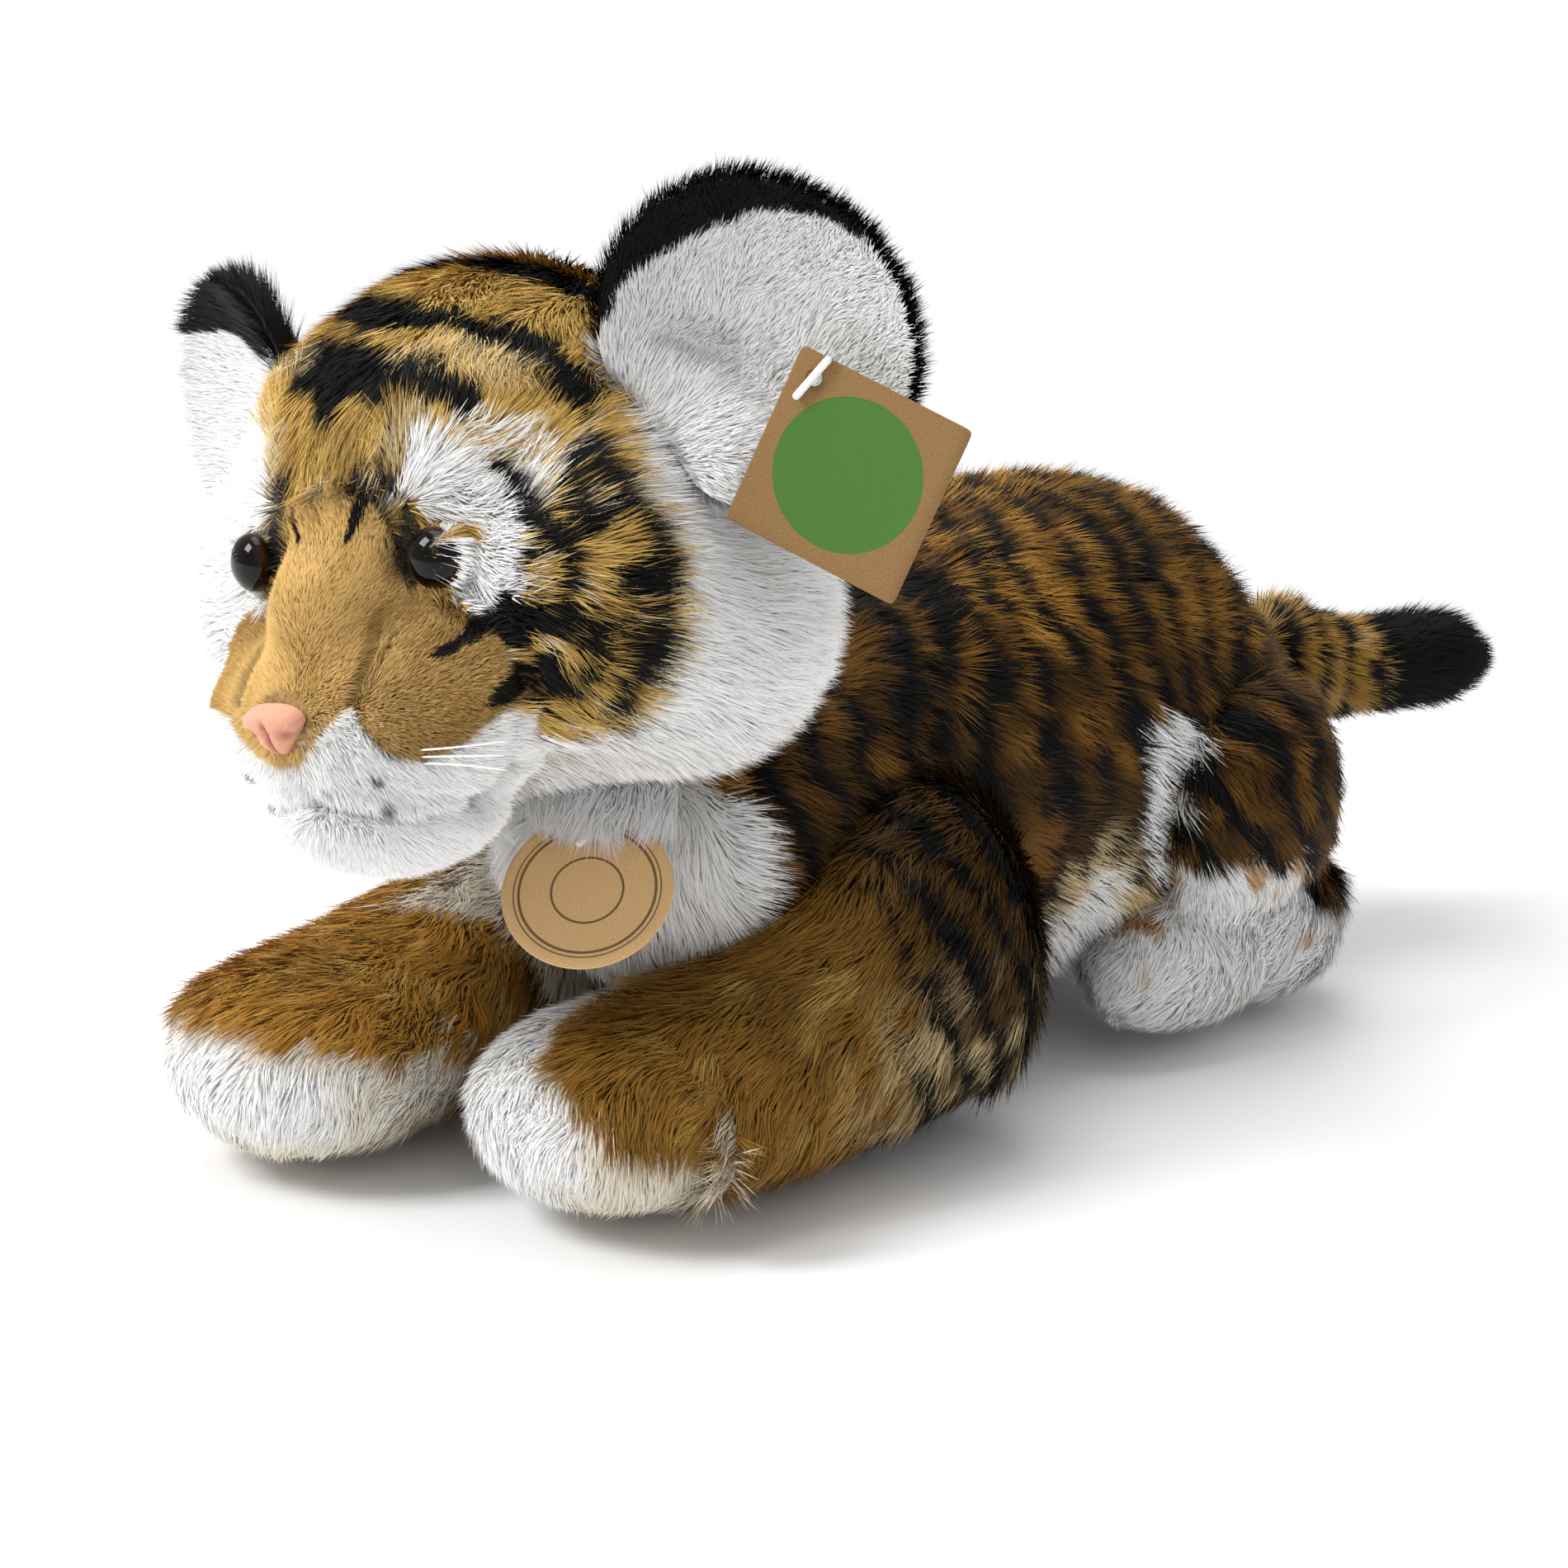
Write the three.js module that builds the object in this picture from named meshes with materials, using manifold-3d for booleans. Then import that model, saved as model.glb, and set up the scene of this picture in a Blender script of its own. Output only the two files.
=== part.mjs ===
// A plush tiger cub that lies on its belly: sewn pile-fabric skins over fibre filling, a large turned
// head with safety eyes, a flocked nose and nylon whiskers, two-layer ears, four soft legs, a tail and
// two card tags. Millimetres, +Z up. The toy faces -Y and its own left side is +X. The origin is on the
// floor under its middle.
import * as THREE from "three";
import { mergeVertices } from "three/addons/utils/BufferGeometryUtils.js";
import Module from "manifold-3d";

const wasm = await Module();
wasm.setup();

// Sizes shared by all pieces
const seamGap = 0.35; // free space between neighbouring pieces
const jointGap = 0.8; // free space between pieces that move against each other
const skinWall = 4; // fabric backing and the dense foot of the pile
const overrun = 12; // how far a cutter reaches past what it cuts
const floorCut = 0.5; // depth of the flat that a soft form rests on
const mergeDistance = 1e-4;

// Trunk
const trunk = {
  length: 272,
  front: -38,
  width: 122,
  height: 150,
  baseLift: 6,
  rings: 13,
  sides: 16,
  inner: { rings: 10, sides: 12 }, // the lining and the filling are coarser
  endShares: [0.16, 0.2],
  // each row: height of the middle, half width, half height
  rowShares: [
    [0.5, 0.3, 0.2],
    [0.5, 0.42, 0.3],
    [0.51, 0.45, 0.39],
    [0.52, 0.47, 0.47],
    [0.53, 0.5, 0.5],
    [0.51, 0.5, 0.5],
    [0.52, 0.46, 0.42],
    [0.58, 0.34, 0.26],
  ],
  bellySeamHeight: 44, // the white belly fabric meets the striped back here
  bibDepth: 34, // how far the white chest fabric reaches back
};
const neck = { radius: 24, top: 132, axisY: -14, turn: 12, slack: 3.4, sides: 16 };
const beanBag = { length: 80, width: 50, height: 22, y: 130, lift: 24, rings: 7, sides: 14 };

// Head: lobes of one stuffed form, measured from the head's centre
const head = {
  centre: [0, -40, 160],
  yaw: 12,
  roll: 9.5,
  pitch: 2,
  blend: 14,
  rings: 13,
  sides: 20,
  inner: { rings: 11, sides: 14 },
  room: { rings: 9, sides: 12 },
  lobes: {
    skull: { at: [0, 6, 8], radii: [70, 64, 70] },
    brow: { at: [0, -22, 28], radii: [48, 37, 36] },
    leftTemple: { at: [43, -22, -3], radii: [34, 32, 37] },
    rightTemple: { at: [-43, -22, -3], radii: [34, 32, 37] },
    leftRuff: { at: [40, 12, -17], radii: [43, 44, 39] },
    rightRuff: { at: [-40, 12, -17], radii: [43, 44, 39] },
    muzzle: { at: [0, -46, -24], radii: [52, 38, 26] },
    bridge: { at: [0, -44, 0], radii: [21, 33, 23] },
    chin: { at: [0, -50, -46], radii: [30, 28, 19] },
  },
};
const headPanels = {
  muzzle: { at: [0, -84, -4], radii: [54, 44, 42] },
  lipTop: -24,
  lipBack: -44,
  chinTop: -46,
  chinBack: -14,
  chinHalfWidth: 36,
  ruff: { at: [84, 30, -36], radii: [60, 50, 58] },
  seam: { rings: 10, sides: 14 },
};
const eye = {
  radius: 7.2,
  bulge: 5,
  spread: 31,
  forward: 54.5,
  up: 14,
  shankRadius: 1.6,
  shankLength: 17,
  sides: 16,
  domeSteps: 4,
  outwardShare: 0.5, // how far the eye turns outwards on the round of the face
};
const washer = { radius: 6, thickness: 1.4, sides: 12, depth: 6 };
const nose = {
  width: 22,
  height: 15,
  depth: 6,
  bevel: 2.4,
  forward: 82,
  up: -19,
  tilt: 18,
  shankRadius: 1.8,
  shankLength: 16,
  sides: 10,
  shares: { topRise: 1.15, shoulderFall: 0.85, tipHalf: 0.2 },
};
const whisker = {
  radius: 0.4,
  length: 30,
  rooted: 6,
  droop: 1.2,
  sides: 3,
  steps: 5,
  // each row: turn of the root from straight ahead, height in the lip, turn of the free part, its rise
  rowShares: [
    [0.44, 0.83, 1.04, 0.1],
    [0.45, 0.755, 0.99, 0.06],
    [0.46, 0.68, 0.97, 0],
  ],
};
const ear = {
  radius: 42,
  tallShare: 0.95,
  thickness: 12,
  cup: 13,
  rootDepth: 12,
  fold: 8,
  rings: 3,
  sides: 16,
  left: { spread: 60, back: 8, up: 36, outwardTurn: 24, lean: 58 },
  right: { spread: 59, back: 8, up: 28, outwardTurn: 22, lean: 68 },
  rimShare: 0.82, // how much the ear thins towards its rim
  slack: 4.2,
  room: { rings: 2, sides: 10 },
};

// Legs, each with the points of its own side
const foreleg = {
  splay: 12,
  hinge: [34, 80, 55],
  seat: 34, // the flat inner face where the leg is sewn on
  left: {
    rear: [56, 84, 60],
    shoulder: [56, 58, 55],
    upper: [56, 26, 42],
    wrist: [51, -6, 33],
    paw: [44, -38, 29],
  },
  right: {
    rear: [-56, 84, 60],
    shoulder: [-56, 58, 55],
    upper: [-54, 16, 42],
    wrist: [-46, -36, 33],
    paw: [-37, -78, 29],
  },
  widths: [26, 32, 33, 37, 43, 42],
  heights: [40, 47, 37, 31, 29, 28],
  toe: 40,
  heading: 14,
  rings: 11,
  sides: 12,
  inner: { rings: 8, sides: 9 },
  endShares: [0.14, 0.2],
  capHeight: 30,
  roomRadius: 50, // the trunk's pocket for the shoulder, and its height at the trunk's front
  roomFrontTop: 84,
};
const hindleg = {
  splay: 10,
  hinge: [36, 206, 60],
  seat: 36,
  centre: [53, 172, 46],
  heading: 10,
  blend: 26,
  rings: 10,
  sides: 12,
  inner: { rings: 8, sides: 10 },
  lobes: {
    thigh: { at: [0, 6, 24], radii: [24, 38, 40] },
    heel: { at: [-4, 23, -17], radii: [27, 32, 27] },
    toes: { at: [-8, -12, -18], radii: [27, 40, 25] },
  },
  capHeight: 46,
  capBack: 150,
  roomRadius: 66,
  roomFront: 108,
  roomFrontTop: 62,
};
const seatArc = { degrees: 110, steps: 6 }; // the round upper part of the trunk's pockets for the legs

const tail = {
  swing: 20,
  root: [0, 232, 94],
  middle: [6, 266, 83],
  end: [24, 312, 83],
  rootRadius: 18,
  middleRadius: 15.5,
  endRadius: 15,
  tipLength: 34,
  rings: 9,
  sides: 10,
  inner: { rings: 7, sides: 8 },
  room: { rings: 7, sides: 10 },
  endShares: [0.2, 0.18],
  slack: 1.5,
};

const hangTag = {
  side: 45,
  thickness: 0.8,
  holeRadius: 2.2,
  holeInset: 8,
  holeSides: 10,
  swing: 12,
  turn: 23,
  hole: [94, -18, 219],
  facing: 32,
  tilt: 6,
};
const chestTag = {
  radius: 21.5,
  thickness: 0.8,
  holeRadius: 2.2,
  holeInset: 5,
  holeSides: 10,
  swing: 8,
  segments: 10,
  hole: [35, -38, 99],
  facing: 40,
  tilt: 46,
};
const tagPin = { radius: 0.7, barLength: 14, barRadius: 1, stem: 9, sides: 8, barTurn: 40, gap: 0.3 };

const colours = {
  striped: 0xb07a34,
  crown: 0xc9923f,
  white: 0xf1efeb,
  belly: 0xece3d3,
  black: 0x1d1b1a,
  tan: 0xb98a4e,
  fibre: 0xf6f5f2,
  nose: 0xdd8e74,
  eye: 0x120c0a,
  washer: 0xe9e7e0,
  nylon: 0xefefea,
  card: 0xb98c5c,
  bag: 0xded9cf,
};

function finish(colour, roughness, metalness = 0) {
  return new THREE.MeshStandardMaterial({ color: colour, roughness, metalness });
}

const softRoughness = 0.95;
const glossRoughness = 0.08;
const satinRoughness = 0.5;
const materials = {
  striped: finish(colours.striped, softRoughness),
  crown: finish(colours.crown, softRoughness),
  white: finish(colours.white, softRoughness),
  belly: finish(colours.belly, softRoughness),
  black: finish(colours.black, softRoughness),
  tan: finish(colours.tan, softRoughness),
  fibre: finish(colours.fibre, softRoughness),
  nose: finish(colours.nose, softRoughness),
  eye: finish(colours.eye, glossRoughness),
  washer: finish(colours.washer, satinRoughness),
  nylon: finish(colours.nylon, satinRoughness),
  card: finish(colours.card, softRoughness),
  bag: finish(colours.bag, softRoughness),
};

// Solids and cuts

function solidOf(geometry) {
  const bare = geometry.clone();
  bare.deleteAttribute("normal");
  bare.deleteAttribute("uv");
  const merged = mergeVertices(bare, mergeDistance);
  return new wasm.Manifold(
    new wasm.Mesh({
      numProp: 3,
      vertProperties: new Float32Array(merged.attributes.position.array),
      triVerts: new Uint32Array(merged.index.array),
    }),
  );
}

function joined(solids) {
  return solids.reduce((sum, next) => sum.add(next));
}

function without(solid, cutters) {
  return cutters.reduce((rest, cutter) => rest.subtract(cutter), solid);
}

// A cut can leave crumbs beside the piece: the piece is the largest body.
function largest(solid) {
  const bodies = solid.decompose();
  return bodies.reduce((best, next) => (next.volume() > best.volume() ? next : best));
}

const toy = new THREE.Group();

function addPiece(name, solid, material) {
  const { vertProperties, triVerts } = largest(solid).getMesh();
  const geometry = new THREE.BufferGeometry();
  geometry.setAttribute("position", new THREE.BufferAttribute(new Float32Array(vertProperties), 3));
  geometry.setIndex(new THREE.BufferAttribute(new Uint32Array(triVerts), 1));
  geometry.computeVertexNormals();
  const mesh = new THREE.Mesh(geometry, material);
  mesh.name = name;
  toy.add(mesh);
  return mesh;
}

// Closed surfaces

// A closed surface from rows of points, with one point at each end.
function closedSurface(start, rows, end) {
  const sides = rows[0].length;
  const positions = [start, ...rows.flat(), end].flatMap((p) => p.toArray());
  const last = rows.length * sides + 1;
  const index = [];
  for (let k = 0; k < sides; k++) {
    const next = (k + 1) % sides;
    index.push(0, 1 + next, 1 + k);
    for (let r = 0; r < rows.length - 1; r++) {
      const low = 1 + r * sides;
      const high = low + sides;
      index.push(low + k, low + next, high + k, high + k, low + next, high + next);
    }
    index.push(last, last - sides + k, last - sides + next);
  }
  const geometry = new THREE.BufferGeometry();
  geometry.setAttribute("position", new THREE.Float32BufferAttribute(positions, 3));
  geometry.setIndex(index);
  return geometry;
}

// A value that runs smoothly through a list, at a share of its length.
function smoothly(values, share) {
  const spot = share * (values.length - 1);
  const k = Math.min(Math.floor(spot), values.length - 2);
  const [a, b] = [values[k], values[k + 1]];
  const before = values[Math.max(k - 1, 0)];
  const after = values[Math.min(k + 2, values.length - 1)];
  const u = spot - k;
  const [slopeA, slopeB] = [(b - before) / 2, (after - a) / 2];
  const u2 = u * u;
  const u3 = u2 * u;
  return (2 * u3 - 3 * u2 + 1) * a + (u3 - 2 * u2 + u) * slopeA + (3 * u2 - 2 * u3) * b + (u3 - u2) * slopeB;
}

// How round an end is, from 0 at its tip to 1 where the form is full.
function roundEnd(share, startShare, endShare) {
  const rise = Math.min(share / startShare, 1);
  const fall = Math.min((1 - share) / endShare, 1);
  return Math.sqrt(1 - (1 - rise) ** 2) * Math.sqrt(1 - (1 - fall) ** 2);
}

// The fineness of a form's surface: what lies inside the skin is coarser.
function fineness(form, grow) {
  return grow < 0 ? form.inner : form;
}

// A stuffed form: elliptical rings along a smooth spine, round at both ends. grow moves its whole surface
// outwards.
function stuffedForm(form, grow = 0) {
  const { spine, widths, heights, endShares } = form;
  const { rings, sides } = fineness(form, grow);
  const curve = new THREE.CatmullRomCurve3(spine, false, "catmullrom");
  const up = new THREE.Vector3(0, 0, 1);
  const rows = [];
  for (let r = 1; r < rings; r++) {
    const share = (1 - Math.cos((Math.PI * r) / rings)) / 2;
    const full = roundEnd(share, ...endShares);
    const along = curve.getTangent(share);
    const across = new THREE.Vector3().crossVectors(up, along).normalize();
    const tall = new THREE.Vector3().crossVectors(along, across);
    const push = grow * (1 - full) * (share < 0.5 ? -1 : 1);
    const middle = curve.getPoint(share).addScaledVector(along, push);
    const halfWidth = (smoothly(widths, share) + grow) * full;
    const halfHeight = (smoothly(heights, share) + grow) * full;
    const row = [];
    for (let s = 0; s < sides; s++) {
      const angle = (2 * Math.PI * s) / sides;
      row.push(
        middle
          .clone()
          .addScaledVector(across, halfWidth * Math.cos(angle))
          .addScaledVector(tall, halfHeight * Math.sin(angle)),
      );
    }
    rows.push(row);
  }
  const start = curve.getPoint(0).addScaledVector(curve.getTangent(0), -grow);
  const end = curve.getPoint(1).addScaledVector(curve.getTangent(1), grow);
  return closedSurface(start, rows, end);
}

// Distance from the origin along a direction to the far side of an ellipsoid, or 0 where it is missed.
function farSide(direction, { at, radii }, grow) {
  let [a, b, c] = [0, 0, -1];
  direction.toArray().forEach((d, k) => {
    const size = (radii[k] + grow) ** 2;
    a += (d * d) / size;
    b += (d * at[k]) / size;
    c += (at[k] * at[k]) / size;
  });
  const inside = b * b - a * c;
  return inside > 0 ? Math.max((b + Math.sqrt(inside)) / a, 0) : 0;
}

const radians = THREE.MathUtils.degToRad;
const headPose = new THREE.Matrix4()
  .makeTranslation(...head.centre)
  .multiply(new THREE.Matrix4().makeRotationZ(radians(head.yaw)))
  .multiply(new THREE.Matrix4().makeRotationY(radians(-head.roll)))
  .multiply(new THREE.Matrix4().makeRotationX(radians(head.pitch)));

// Lobes blended smoothly into one form, seen from its middle. The rings run from its front to its back.
function lobedForm(form, pose, grow = 0) {
  const { lobes, blend } = form;
  const { rings, sides } = fineness(form, grow);
  const reach = (direction) => {
    const sum = Object.values(lobes).reduce((s, lobe) => s + farSide(direction, lobe, grow) ** blend, 0);
    return direction.clone().multiplyScalar(sum ** (1 / blend));
  };
  const rows = [];
  for (let r = 1; r < rings; r++) {
    const polar = (Math.PI * r) / rings;
    const row = [];
    for (let s = 0; s < sides; s++) {
      const angle = (-2 * Math.PI * s) / sides;
      const [x, z] = [Math.sin(polar) * Math.cos(angle), Math.sin(polar) * Math.sin(angle)];
      row.push(reach(new THREE.Vector3(x, -Math.cos(polar), z)));
    }
    rows.push(row);
  }
  const geometry = closedSurface(reach(new THREE.Vector3(0, -1, 0)), rows, reach(new THREE.Vector3(0, 1, 0)));
  return geometry.applyMatrix4(pose);
}

const headForm = (grow = 0, size = head) => lobedForm(size, headPose, grow);

function ellipsoid({ at, radii }, { rings, sides }, grow = 0) {
  const geometry = new THREE.SphereGeometry(1, sides, rings);
  return geometry.scale(...radii.map((r) => r + grow)).translate(...at);
}

function boxBetween(low, high) {
  const size = high.map((h, k) => h - low[k]);
  const middle = high.map((h, k) => (h + low[k]) / 2);
  return new THREE.BoxGeometry(...size).translate(...middle);
}

// A cylinder along +Z from one height to another.
function post(radius, low, high, sides) {
  return new THREE.CylinderGeometry(radius, radius, high - low, sides)
    .rotateX(Math.PI / 2)
    .translate(0, 0, (low + high) / 2);
}

// The room that a form needs as it turns through its range about an axis.
function sweptRoom(geometry, pivot, axis, degrees) {
  const turned = degrees.map((degree) => {
    const turn = new THREE.Matrix4()
      .makeTranslation(...pivot)
      .multiply(new THREE.Matrix4().makeRotationAxis(new THREE.Vector3(...axis), radians(degree)))
      .multiply(new THREE.Matrix4().makeTranslation(...pivot.map((p) => -p)));
    return solidOf(geometry.clone().applyMatrix4(turn));
  });
  return joined(turned);
}

function steps(low, high, count) {
  return Array.from({ length: count }, (_, k) => low + ((high - low) * k) / (count - 1));
}

const vector = (p) => new THREE.Vector3(...p);
const span = 3 * trunk.length; // larger than the toy, for half-space cutters

// Trunk form

function trunkForm(grow = 0) {
  const rows = trunk.rowShares;
  const stations = rows.map(([middle], k) => [
    0,
    trunk.front + (trunk.length * k) / (rows.length - 1),
    trunk.baseLift + trunk.height * middle,
  ]);
  return stuffedForm(
    {
      ...trunk,
      spine: stations.map(vector),
      widths: rows.map((row) => trunk.width * row[1]),
      heights: rows.map((row) => trunk.height * row[2]),
    },
    grow,
  );
}

// Leg forms

function mirrored(point, side) {
  return [side * point[0], point[1], point[2]];
}

const sides = [
  { side: 1, label: "left" },
  { side: -1, label: "right" },
];

function forelegForm({ label }, grow = 0) {
  const { rear, shoulder, upper, wrist, paw } = foreleg[label];
  const turn = radians(foreleg.heading);
  const toe = [paw[0] + foreleg.toe * Math.sin(turn), paw[1] - foreleg.toe * Math.cos(turn), paw[2]];
  return stuffedForm({ ...foreleg, spine: [rear, shoulder, upper, wrist, paw, toe].map(vector) }, grow);
}

function hindlegForm({ side }, grow = 0) {
  const pose = new THREE.Matrix4()
    .makeTranslation(...mirrored(hindleg.centre, side))
    .multiply(new THREE.Matrix4().makeRotationZ(radians(side * hindleg.heading)));
  return lobedForm(mirroredLobes(hindleg, side), pose, grow);
}

// Lowers a limb until its underside is just below the floor, where it is cut flat.
const restHeights = new Map();
function resting(form, which, grow) {
  if (!restHeights.has(form.name + which.label)) {
    const outer = form(which);
    outer.computeBoundingBox();
    restHeights.set(form.name + which.label, -floorCut - outer.boundingBox.min.z);
  }
  return form(which, grow).translate(0, 0, restHeights.get(form.name + which.label));
}

function mirroredLobes(form, side) {
  const lobes = Object.entries(form.lobes).map(([name, { at, radii }]) => [
    name,
    { at: mirrored(at, side), radii },
  ]);
  return { ...form, lobes: Object.fromEntries(lobes) };
}

function tailForm(grow = 0) {
  return stuffedForm(
    {
      ...tail,
      spine: [tail.root, tail.middle, tail.end].map(vector),
      widths: [tail.rootRadius, tail.middleRadius, tail.endRadius],
      heights: [tail.rootRadius, tail.middleRadius, tail.endRadius],
    },
    grow,
  );
}

// What the trunk takes from a leg: all inside a hind leg's flat sewn face, and for a foreleg, which
// reaches past the chest, only the trunk's own form there.
function insideSeat(kind, side, seat, depth) {
  const near = side * seat;
  const far = side * -span;
  const low = [Math.min(near, far), -span, -span];
  const inner = solidOf(boxBetween(low, [Math.max(near, far), span, span]));
  return kind === "foreleg" ? inner.intersect(solidOf(trunkForm(jointGap + depth))) : inner;
}

// Room beside the trunk for a leg: an outline in the plane of its swing, cut outwards from its sewn face.
function seatRoom({ side, seat, outline }) {
  const shape = new THREE.Shape(outline.map(([y, z]) => new THREE.Vector2(y, z)));
  const slab = new THREE.ExtrudeGeometry(shape, { depth: span, bevelEnabled: false });
  // The outline's plane turns onto Y and Z, and the slab's depth onto the outward side.
  const turn = new THREE.Matrix4().set(0, 0, side, side * seat, 1, 0, 0, 0, 0, 1, 0, 0, 0, 0, 0, 1);
  slab.applyMatrix4(turn);
  if (side < 0) {
    flipFaces(slab);
  }
  return solidOf(slab);
}

function flipFaces(geometry) {
  const position = geometry.attributes.position;
  for (let k = 0; k < position.count; k += 3) {
    const [a, b] = [new THREE.Vector3(), new THREE.Vector3()];
    a.fromBufferAttribute(position, k);
    b.fromBufferAttribute(position, k + 1);
    position.setXYZ(k, ...b.toArray());
    position.setXYZ(k + 1, ...a.toArray());
  }
}

// The outline of a round joint with a limb that leaves it forwards, open down to the floor.
function roomOutline([, middleY, middleZ], radius, front, frontTop) {
  const points = [[front, -overrun], [front, frontTop]];
  for (const degree of steps(seatArc.degrees, 0, seatArc.steps)) {
    const angle = radians(degree);
    points.push([middleY + radius * Math.cos(angle), middleZ + radius * Math.sin(angle)]);
  }
  points.push([middleY + radius, -overrun]);
  return points;
}

const legKinds = [
  { kind: "foreleg", form: forelegForm, size: foreleg },
  { kind: "hindleg", form: hindlegForm, size: hindleg },
];

// The middle of a leg's round upper part.
function legMiddle(kind, { side, label }) {
  return kind === "foreleg" ? foreleg[label].shoulder : mirrored(hindleg.centre, side);
}

// Room that the trunk leaves for what moves beside it, grown by the trunk's own walls.
function roomAroundTrunk(grow) {
  const clear = jointGap + grow;
  const headRoom = sweptRoom(
    headForm(clear + neck.slack, { ...head, ...head.room }),
    [0, neck.axisY, 0],
    [0, 0, 1],
    steps(-neck.turn, neck.turn, 3),
  );
  const legRoom = sides.flatMap((which) => [
    seatRoom({
      side: which.side,
      seat: foreleg.seat - clear,
      outline: roomOutline(
        legMiddle("foreleg", which),
        foreleg.roomRadius + grow,
        -span,
        foreleg.roomFrontTop + grow,
      ),
    }),
    seatRoom({
      side: which.side,
      seat: hindleg.seat - clear,
      outline: roomOutline(
        legMiddle("hindleg", which),
        hindleg.roomRadius + grow,
        hindleg.roomFront - grow,
        hindleg.roomFrontTop + grow,
      ),
    }),
  ]);
  const tailBall = { at: tail.root, radii: Array(3).fill(tail.rootRadius + tail.slack) };
  return [headRoom, ...legRoom, solidOf(ellipsoid(tailBall, tail.room, clear))];
}

const layers = { skin: 0, lining: skinWall, filling: skinWall + 2 * seamGap };

function trunkLayer(depth) {
  return without(solidOf(trunkForm(-depth)), roomAroundTrunk(depth));
}

function neckPost(grow, top) {
  const plug = post(neck.radius + grow, trunk.height / 2, top, neck.sides);
  return solidOf(plug.translate(0, neck.axisY, 0));
}

// Trunk pieces
{
  const lining = [trunkLayer(layers.lining), neckPost(seamGap, neck.top)];
  const shell = without(trunkLayer(layers.skin), lining);
  const bibEnd = trunk.front + trunk.bibDepth;
  const belly = (grow) =>
    solidOf(boxBetween([-span, bibEnd + seamGap - grow, -span], [span, span, trunk.bellySeamHeight + grow]));
  const bib = (grow) => solidOf(boxBetween([-span, -span, -span], [span, bibEnd + grow, span]));
  addPiece("chest_bib", shell.intersect(bib(0)), materials.white);
  addPiece("belly_panel", shell.subtract(bib(0)).intersect(belly(0)), materials.belly);
  addPiece("back_panel", shell.subtract(bib(seamGap)).subtract(belly(seamGap)), materials.striped);

  const bagForm = {
    at: [0, beanBag.y, beanBag.lift + beanBag.height / 2],
    radii: [beanBag.width / 2, beanBag.length / 2, beanBag.height / 2],
  };
  const shaft = new THREE.CylinderGeometry(1, 1, bagForm.at[2] + overrun, beanBag.sides)
    .rotateX(Math.PI / 2)
    .scale(bagForm.radii[0] + seamGap, bagForm.radii[1] + seamGap, 1)
    .translate(0, beanBag.y, (bagForm.at[2] - overrun) / 2);
  const pocket = solidOf(ellipsoid(bagForm, beanBag, seamGap)).add(solidOf(shaft));
  const filling = trunkLayer(layers.filling).subtract(pocket).add(neckPost(0, neck.top));
  addPiece("belly_pellet_bag", solidOf(ellipsoid(bagForm, beanBag)), materials.bag);
  addPiece("trunk_filling", filling, materials.fibre);
}

// Legs: an open sleeve, a sewn-on toe cap and the filling, all resting flat on the floor
for (const which of sides) {
  const { side, label } = which;
  for (const { kind, form, size } of legKinds) {
    const layer = (depth, low) =>
      solidOf(resting(form, which, -depth))
        .subtract(insideSeat(kind, side, size.seat, depth))
        .intersect(solidOf(boxBetween([-span, -span, low], [span, span, span])));
    const shell = layer(layers.skin, 0).subtract(layer(layers.lining, skinWall));
    const capBack = kind === "foreleg" ? foreleg[label].paw[1] : hindleg.capBack;
    const cap = (grow) =>
      solidOf(boxBetween([-span, -span, -span], [span, capBack + grow, size.capHeight + grow]));
    addPiece(`${kind}_${label}_toe_cap`, shell.intersect(cap(0)), materials.white);
    addPiece(`${kind}_${label}_sleeve`, shell.subtract(cap(seamGap)), materials.striped);
    addPiece(`${kind}_${label}_filling`, layer(layers.filling, layers.filling), materials.fibre);
  }
}

// Tail: a striped sleeve with an open root, a black tip and the filling
{
  const end = vector(tail.end);
  const along = end.clone().sub(vector(tail.middle)).normalize();
  const cutFrame = new THREE.Matrix4().lookAt(along, new THREE.Vector3(), new THREE.Vector3(0, 0, 1));
  const seam = end.clone().addScaledVector(along, tail.endRadius - tail.tipLength);
  const atTip = (grow) =>
    solidOf(
      boxBetween([-span, -span, -grow], [span, span, span])
        .applyMatrix4(cutFrame)
        .translate(...seam.toArray()),
    );
  const rootBall = { at: tail.root, radii: Array(3).fill(tail.rootRadius / 2) };
  const openRoot = solidOf(ellipsoid(rootBall, tail.room));
  const shell = solidOf(tailForm()).subtract(solidOf(tailForm(-layers.lining))).subtract(openRoot);
  addPiece("tail_tip", shell.intersect(atTip(0)), materials.black);
  addPiece("tail_sleeve", shell.subtract(atTip(seamGap)), materials.striped);
  addPiece("tail_filling", solidOf(tailForm(-layers.filling)), materials.fibre);
}

// Ears: a white front and a black back, sewn together at the rim

// A point of the ear: how far out, at which angle, and at which share through the thickness from front
// to back. The ear's front faces -Y in its own frame, and its rim curls forward.
function earPoint(out, angle, share, grow) {
  const x = (ear.radius + grow) * out * Math.cos(angle);
  const z = (ear.radius * ear.tallShare + grow) * out * Math.sin(angle);
  const curl = ear.cup * out * out;
  const thick = (ear.thickness + 2 * grow) * Math.sqrt(1 - ear.rimShare * out ** 4);
  return new THREE.Vector3(x, -curl + (share - 0.5) * thick, z);
}

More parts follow.
